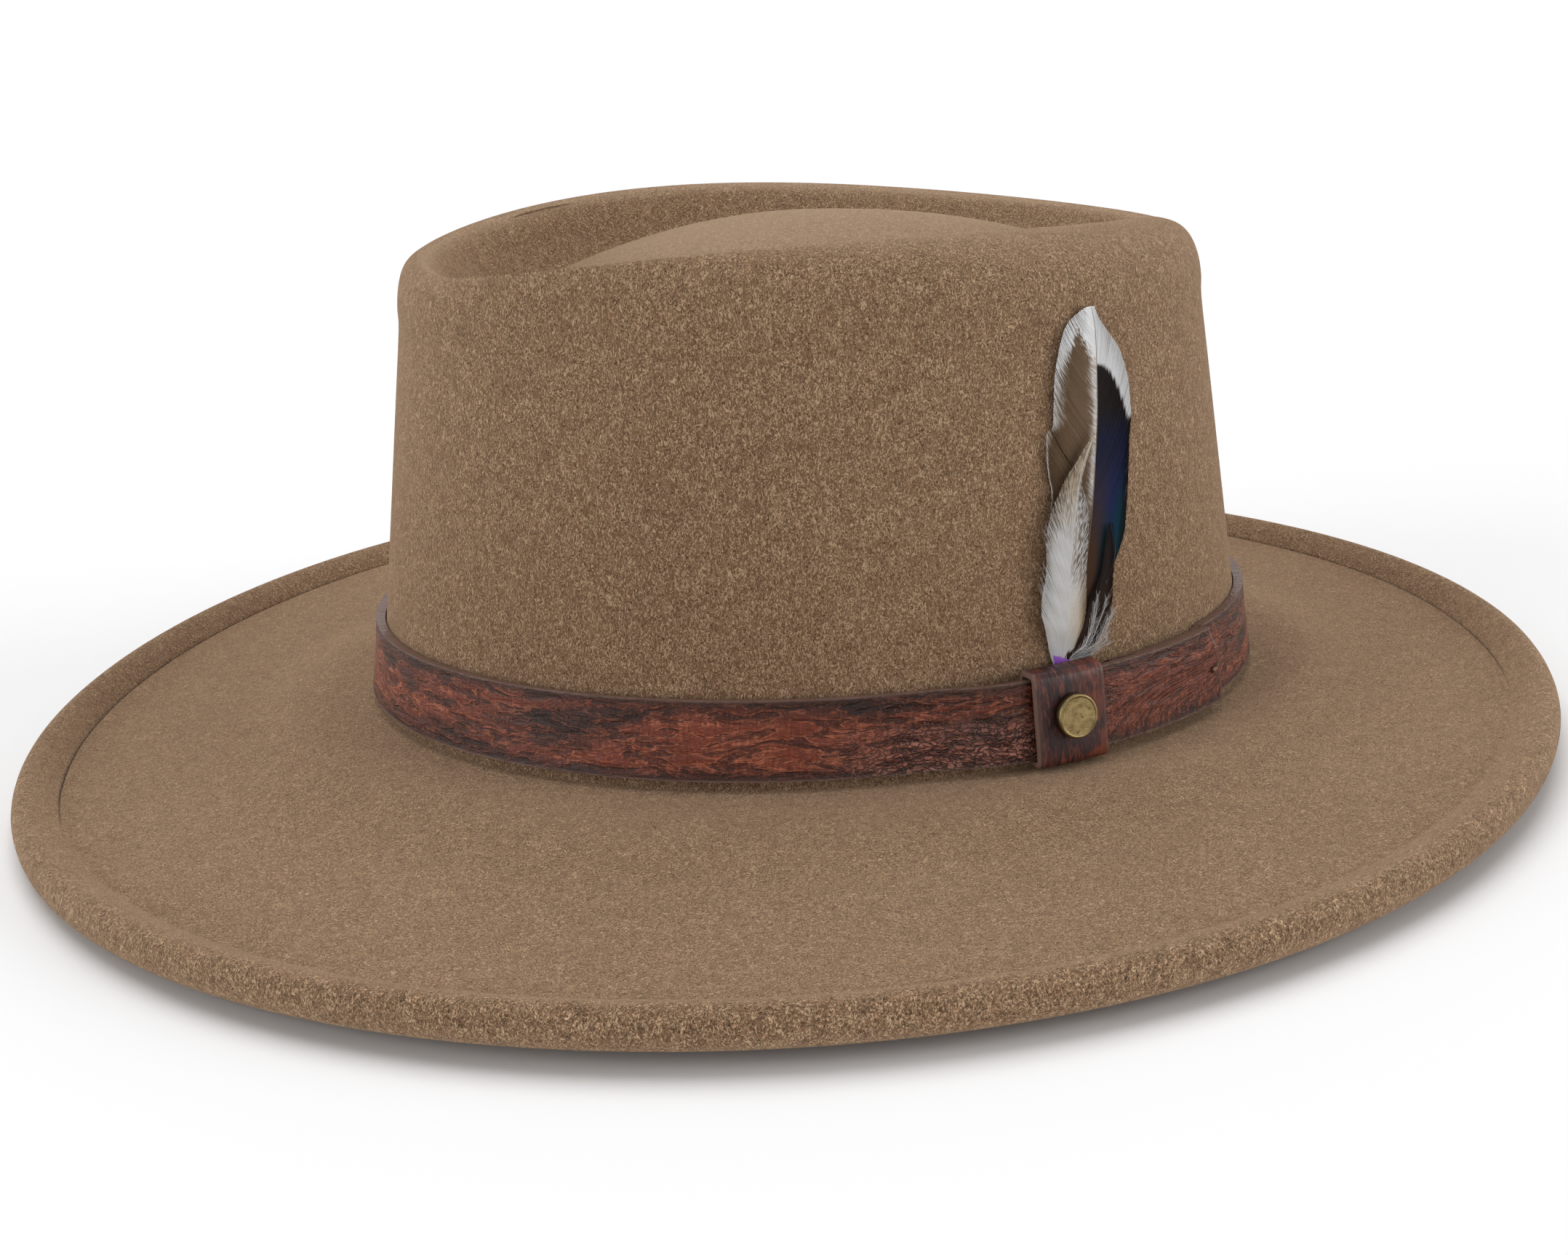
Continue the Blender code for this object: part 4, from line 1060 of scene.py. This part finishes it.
def down(finish):
    """White wisps at the foot of the bunch: stems with fine hairs on both sides."""
    draw = np.random.default_rng(47)
    plume = Plume()
    stems = (
        ((4.1, 18.4), (7.4, 21.5), (9.7, 25.2), (10.9, 28.6), (11.5, 31.6)),
        ((4.1, 18.4), (8.4, 21.6), (11.4, 26.2), (12.9, 28.6), (13.6, 30.4)),
        ((4.3, 18.3), (9.3, 20.3), (12.6, 23.7), (14.1, 26.2), (14.9, 27.6)),
        ((4.5, 18.3), (8.2, 19.0), (10.8, 20.2), (12.2, 21.6), (12.8, 23.2)),
        ((4.0, 18.4), (6.6, 21.4), (8.4, 24.6), (9.4, 27.4), (9.9, 30.0)),
        ((4.2, 18.3), (7.8, 20.2), (10.4, 22.6), (12.0, 25.0), (12.9, 26.4)),
        ((4.4, 18.2), (7.6, 18.5), (10.2, 18.9), (12.0, 19.8), (13.2, 20.8)))
    steps = np.linspace(0.0, 1.0, 4)
    for index, stem in enumerate(stems):
        line = line_through(stem, 5)
        share = np.linspace(0.0, 1.0, len(line))

        def on_stem(part):
            return np.array([np.interp(part, share, line[:, k]) for k in (0, 1)])

        def lift(s, h):
            rise = 1.55 + 0.2 * index
            return 0.95 + rise * ease((h - 18.9) / 3.0) + 0.05 * np.maximum(s - 4.0, 0.0)

        quill(plume, line, lift, 0.09, 0.03, (206, 206, 204), high=0.5)
        hairs = []
        for root in np.linspace(0.10, 0.97, 22):
            spot = on_stem(root)
            ahead = on_stem(min(root + 0.04, 1.0)) - spot
            aim = ahead / max(np.linalg.norm(ahead), 1e-6)
            for side in (-1.0, 1.0):
                turn = side * math.radians(draw.uniform(16.0, 40.0))
                swing = np.array([aim[0] * math.cos(turn) - aim[1] * math.sin(turn),
                                  aim[0] * math.sin(turn) + aim[1] * math.cos(turn)])
                length = draw.uniform(1.0, 3.0) * (1.0 - 0.55 * root)
                hairs.append(spot + length * (np.outer(steps, swing) + np.outer(0.35 * steps ** 2, aim)))
        hairs = np.array(hairs)
        width = np.broadcast_to(np.linspace(0.045, 0.02, 4), hairs.shape[:2])
        off = lift(hairs[..., 0], hairs[..., 1]) + draw.normal(0.0, 0.12, (len(hairs), 1)) * steps
        shade = linear(np.full(hairs.shape[:2] + (3,), 222.0))
        plume.add(hairs, width, off, np.full_like(width, 0.03), shade)
    plume.finish("down_tuft", "feather_light", finish, "feather_down")


def tape_wrap(finish):
    """Purple tape wound round the quills, with the edges of its turns."""
    around, rows = 40, 60
    turn = turns(around)[None, :]
    height = np.linspace(4.2, 20.0, rows)[:, None]
    slant = height - 1.9 * ease((height - 15.0) / 4.0) * (0.5 + 0.5 * np.cos(turn))
    step = 0.05 * np.minimum(((slant * 0.55 + turn / (2 * math.pi)) % 1.0) * 3.0, 1.0)
    s = 2.6 + (2.20 + step) * np.cos(turn)
    off = 0.88 + (0.52 + step) * np.sin(turn)
    grid = trim_point(s * MM, off * MM, slant * MM)
    faces = grid_faces(rows, around, ends=True)
    wrap = mesh_object("tape_wrap", grid, faces, "feathers", finish, sharp=60.0)
    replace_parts(wrap, "feather_binding")


def feather_paint(name, rough, gloss, sheen):
    """Takes its colours from the barbs, with fine barbules over them."""
    paint = Paint(name, Roughness=rough, Specular_IOR_Level=gloss, Sheen_Weight=sheen)
    tint = paint.attribute("tint", "Color")
    fine = paint.noise(paint.place, 2600.0, 2.0, 0.6)
    paint.colour(paint.mix(0.35, tint, paint.ramp(fine, (0.3, 0.36), (0.7, 0.62)), "OVERLAY"))
    paint.bump((fine, 0.00004))
    return paint.material


def tape_paint():
    """Purple floral tape, finely crinkled."""
    paint = Paint("tape", Roughness=0.5)
    crinkle = paint.noise(paint.place, 1500.0, 3.0, 0.6, 0.6)
    paint.colour(paint.ramp(crinkle, (0.3, srgb(138, 74, 186)), (0.7, srgb(168, 104, 212))))
    paint.bump((crinkle, 0.00010))
    return paint.material


# ---- inside the crown ---------------------------------------------------------------------------
def ring_skin(name, section, finish, bend, steps=300, sharp=40.0):
    """A closed ring on the crown's wall from the (distance off the wall, height) of its section.

    bend(angle, off, height) gives the distance off the wall again, with the waves put in.
    """
    angle = turns(steps)[None, :]
    off, height = (np.array(section)[:, k, None] + 0.0 * angle for k in (0, 1))
    return mesh_object(name, wall(angle, height, bend(angle, off, height)),
                       grid_faces(len(section), steps, loop=True), "hat", finish, sharp=sharp,
                       turn_out=True)


def wall_cord(name, off, height, radius, finish, strands=0, twists=0, steps=600):
    """A cord that follows the crown's wall, plain or twisted from strands."""
    around = 14
    turn, angle = turns(around)[:, None], turns(steps)[None, :]
    size = radius
    if strands:
        size = radius * (0.90 + 0.10 * np.abs(np.cos(strands * turn / 2.0 + twists * angle)))
    grid = wall(angle, height + size * np.sin(turn), off + size * np.cos(turn))
    return mesh_object(name, grid, grid_faces(around, steps, loop=True), "hat", finish,
                       turn_out=True)


def sweatband(finish):
    """Leather band, with a pressed line above its stitches and slight waves from wear."""
    face, deep = REED_OFF - REED_R - 0.0003, SWEAT_OFF - SWEAT_T
    outer = [(SWEAT_OFF, h) for h in np.linspace(SWEAT_HIGH, 0.0075, 8)] + [
        (face, 0.0048), (face, REED_H - 0.0003), (REED_OFF, REED_H - 0.0014),
        (REED_OFF, REED_H - 0.0024), (face - SWEAT_T, REED_H - 0.0009), (face - SWEAT_T, 0.0054)]
    inner = [(deep, h) for h in np.linspace(0.0092, SWEAT_HIGH - 0.0003, 30)]
    section = outer + inner + [(deep + 0.0004, SWEAT_HIGH)]

    def bend(angle, off, height):
        inside = (off < SWEAT_OFF - 0.0005) * ease((height - 0.0085) / 0.003)
        line = np.exp(-((height - 0.0125) / 0.0006) ** 2)
        wave = np.sin(angle * 9.0 + 2.0 * np.sin(angle * 2.0)) * ease((height - 0.014) / 0.02)
        return off + inside * (0.00025 * line + 0.00018 * wave)

    band = ring_skin("sweatband_leather", section, finish, bend)
    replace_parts(band, "sweatband")


def lining_wall(finish):
    """Satin that hangs in soft upright folds between the sweatband and the piping."""
    face = [(-0.0028, h) for h in np.linspace(0.0262, 0.0365, 6)] + [
        (-0.0028 - 0.0012 * t, 0.0365 + 0.0135 * t) for t in (0.33, 0.66, 1.0)] + [
        (-0.0040, h) for h in np.linspace(0.0540, 0.0735, 8)]
    section = face + [(off - 0.0003, height) for off, height in face[::-1]]

    def bend(angle, off, height):
        fold = 0.5 + 0.5 * np.sin(angle * 31.0 + 2.5 * np.sin(angle * 3.0) + 1.5 * np.sin(angle * 7.0))
        free = ease((height - 0.037) / 0.012) * ease((0.0745 - height) / 0.012)
        return off - 0.0016 * fold ** 1.5 * free

    side = ring_skin("lining_wall", section, finish, bend, steps=720, sharp=None)
    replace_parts(side, "lining_side")


def lining_top(finish):
    """The satin disc at the top of the lining, gathered a little at its seam."""
    steps, rows = 360, 26
    angle = turns(steps)[None, :]
    share = np.linspace(0.02, 1.0, rows)[:, None]
    rim = np.stack([(HEAD_X - TAPER_X * LINING_HIGH - 0.0068) * np.cos(angle),
                    (HEAD_Y - TAPER_Y * LINING_HIGH - 0.0068) * np.sin(angle)], axis=-1)
    gather = 0.0005 * np.sin(angle * 40.0 + 2.0 * np.sin(angle * 5.0))
    gather = gather * ease((share - 0.72) / 0.25) * (share < 0.999)
    low = LINING_HIGH - 0.0006 + 0.0006 * share ** 2 + gather
    lower, upper = (crown(rim[..., 0] * share, rim[..., 1] * share, z) for z in (low, low + 0.0004))
    grid = np.concatenate([lower, upper[::-1]])
    faces = grid_faces(len(grid), steps, ends=True)
    disc = mesh_object("lining_top", grid, faces, "hat", finish, turn_out=True)
    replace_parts(disc, "lining_tip")


def ribbon_bow(finish):
    """A flat bow: two pleated loops pressed into a raised knot."""
    columns, rows, reach = 67, 17, 0.0082
    along = np.linspace(-reach, reach, columns)[None, :]
    v = np.linspace(-1.0, 1.0, rows)[:, None]
    far = np.abs(along) / reach
    half = 0.0034 * clamp(0.40 + 0.75 * ease((far - 0.10) / 0.45)) * np.sqrt(
        np.clip(1.0 - far ** 8, 0.02, 1.0))
    half = np.where(far < 0.13, 0.0022, half)
    rise = half * v
    pillow = (1.0 - v ** 2) * ease((1.0 - far) / 0.3)
    pleats = 0.25 * np.sin(v * 9.0 + np.sign(along) * far * 2.0) * ease((0.8 - far) / 0.5) * (far > 0.13)
    raised = 0.00045 * pillow * (1.0 + pleats) + 0.0003 * (far < 0.13)
    back, front = (wall(along / HEAD_Y, BOW_H + rise, off) for off in (-0.0047, -0.0052 - raised))
    grid = np.concatenate([back, front[::-1]])
    faces = grid_faces(2 * rows, columns, around=False, loop=True, ends=True)
    bow = mesh_object("ribbon_bow", grid, faces, "hat", finish, sharp=50.0, turn_out=True)
    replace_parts(bow, "sweatband_bow")


def sweat_leather():
    """Brown leather with pores."""
    paint = Paint("sweat_leather", Specular_IOR_Level=0.35)
    cloud = paint.noise(paint.place, 60.0, 3.0, 0.55, 0.4)
    pores = paint.node("ShaderNodeTexVoronoi", Vector=paint.place, Scale=1300.0)
    tone = paint.ramp(cloud, (0.3, srgb(98, 66, 44)), (0.7, srgb(122, 86, 60)))
    tone = paint.mix(0.5, tone, paint.ramp(pores, (0.05, 0.30), (0.30, 0.55)), "OVERLAY")
    paint.colour(tone)
    paint.rough(paint.span(cloud, 0.3, 0.7, 0.55, 0.42))
    paint.bump((pores, 0.00008))
    return paint.material


def satin_paint():
    """Dark satin: fine floats of thread one way, with soft cloudy gloss."""
    paint = Paint("satin", Specular_IOR_Level=0.6, Sheen_Weight=0.3, Sheen_Roughness=0.3)
    floats = paint.noise(paint.place, (2600.0, 2600.0, 500.0), 2.0, 0.6)
    cloud = paint.noise(paint.place, 90.0, 3.0, 0.6, 0.5)
    tone = paint.ramp(floats, (0.3, srgb(50, 34, 28)), (0.7, srgb(82, 58, 48)))
    paint.colour(tone)
    paint.rough(paint.span(cloud, 0.3, 0.7, 0.42, 0.28))
    paint.bump((floats, 0.00006))
    return paint.material


def plain_paint(name, low, high, scale, rough):
    """A lightly mottled, lightly grained finish for small hard parts."""
    paint = Paint(name, Roughness=rough)
    grain = paint.noise(paint.place, scale, 3.0, 0.6, 0.3)
    paint.colour(paint.ramp(grain, (0.3, low), (0.7, high)))
    paint.bump((grain, 0.00005))
    return paint.material


def refinish(node, finish):
    """Gives a CAD node whose shape is right its better material."""
    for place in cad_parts[node].material_slots:
        place.material = finish


# ---- camera, light and floor --------------------------------------------------------------------
EYE = (-0.04746, -0.48503, 0.17717)                      # where the photo was taken from
EYE_TURN, EYE_RISE, EYE_ROLL = -5.636, 17.871, -3.351    # degrees
LENS, SENSOR = 48.35, 36.0                               # millimetres
FLOOR_REACH, FLOOR_GAP = 60.0, 0.0002
# for each sun, the way toward it, how broad it is in degrees, and its strength
SUNS = {"overhead": ((-0.06, 0.30, 1.0), 50.0, 1.55), "left": ((-0.92, -0.35, 0.36), 40.0, 0.92),
        "right": ((0.94, -0.32, 0.33), 40.0, 1.15)}


def camera():
    """The photo's camera, as fitted to the outlines of brim, band and crown."""
    data = bpy.data.cameras.new("camera")
    data.lens, data.sensor_width, data.sensor_fit = LENS, SENSOR, "HORIZONTAL"
    data.clip_start, data.clip_end = 0.02, 20.0
    turn, rise, roll = (math.radians(degrees) for degrees in (EYE_TURN, EYE_RISE, EYE_ROLL))
    back = Vector((math.sin(turn) * math.cos(rise), -math.cos(turn) * math.cos(rise), math.sin(rise)))
    right = Vector((math.cos(turn), math.sin(turn), 0.0))
    up = back.cross(right)
    x = right * math.cos(roll) + up * math.sin(roll)
    y = -right * math.sin(roll) + up * math.cos(roll)
    eye = linked("camera", data)
    eye.matrix_world = Matrix.Translation(EYE) @ Matrix((x, y, back)).transposed().to_4x4()
    bpy.context.scene.camera = eye


def suns():
    """A soft light from overhead and one from each side."""
    for name, (toward, spread, power) in SUNS.items():
        data = bpy.data.lights.new(name, "SUN")
        data.energy, data.angle = power, math.radians(spread)
        linked(name, data).rotation_euler = (-Vector(toward)).to_track_quat("-Z", "Y").to_euler()


def sky():
    """Light from all round, brightest at the horizon and below it.

    Above the horizon the front half is dimmer, so the crown's sides catch more light than its middle.
    """
    world = bpy.data.worlds.new("studio")
    world.use_nodes = True
    air = Nodes(world.node_tree)
    lamp = air.tree.nodes["Background"].inputs
    _, y, z = air.parts(air.node("ShaderNodeTexCoord", "Generated"))
    tone = air.ramp(z, (0.18, 1.0), (0.5, (0.50, 0.50, 0.51, 1.0)))
    air.tree.links.new(tone, lamp["Color"])
    behind, low = air.span(y, -0.75, 0.25, 0.26, 1.0), air.span(z, 0.16, 0.26, 1.0, 0.0)
    air.tree.links.new(air.math("MAXIMUM", behind, low), lamp["Strength"])
    bpy.context.scene.world = world


def floor():
    """A wide white floor just below the hat."""
    data = bpy.data.meshes.new("floor")
    corners = ((-1.0, -1.0), (1.0, -1.0), (1.0, 1.0), (-1.0, 1.0))
    data.from_pydata([(x * FLOOR_REACH, y * FLOOR_REACH, 0.0) for x, y in corners], [], [(0, 1, 2, 3)])
    ground = linked("floor", data)
    data.materials.append(Paint("floor", Roughness=0.95, Base_Color=srgb(246, 246, 246)).material)
    ground.location.z = cad_box[0].z - FLOOR_GAP


felt = felt_paint()
felt_body(felt)
thread = thread_paint("thread", srgb(58, 42, 32), srgb(96, 74, 56))
welt_stitches(thread)
hat_band(band_leather())
# the near black finish of the discs at the tack's ends is painted shade of its needle holes
tack_bar(thread_paint("tack_thread", srgb(128, 80, 60), srgb(198, 142, 112)),
         plain_paint("needle_hole_shade", srgb(22, 11, 9), srgb(32, 17, 13), 900.0, 0.9))
keeper(keeper_leather())
brass = brass_paint()
stud(brass)
pale_feather = feather_paint("feather_pale", 0.62, 0.30, 0.12)
dark_feather = feather_paint("feather_dark", 0.45, 0.22, 0.0)
speculum(feather_paint("feather_speculum_skin", 0.55, 0.18, 0.0))
flank(pale_feather)
covert(dark_feather)
down(pale_feather)
tape_wrap(tape_paint())
sweatband(sweat_leather())
satin = satin_paint()
lining_wall(satin)
lining_top(satin)
ribbon_bow(satin)
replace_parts(wall_cord("piping_cord", -0.0052, LINING_HIGH - 0.0010, 0.0010, satin,
                      strands=3, twists=230, steps=1400), "lining_piping")
reed = plain_paint("reed", srgb(196, 188, 170), srgb(212, 205, 190), 700.0, 0.45)
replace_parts(wall_cord("reed_cord", REED_OFF, REED_H, REED_R, reed), "sweatband_reed")
inner_stitches = stitch_ring(
    "sweatband_stitches", lambda turn: wall(turn, 0.0100, SWEAT_OFF - SWEAT_T - 0.0003),
    lambda turn: points(-np.cos(turn), -np.sin(turn), 0.0), 210, thread, thick=0.00028)
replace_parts(inner_stitches, "sweatband_stitching")
refinish("size_label", plain_paint("label", srgb(214, 208, 194), srgb(226, 221, 209), 900.0, 0.6))
for hidden in ("keeper_staple", "stud_post", "stud_washer"):
    refinish(hidden, brass)
bpy.context.scene.view_settings.view_transform = "Standard"
camera()
sky()
floor()
suns()
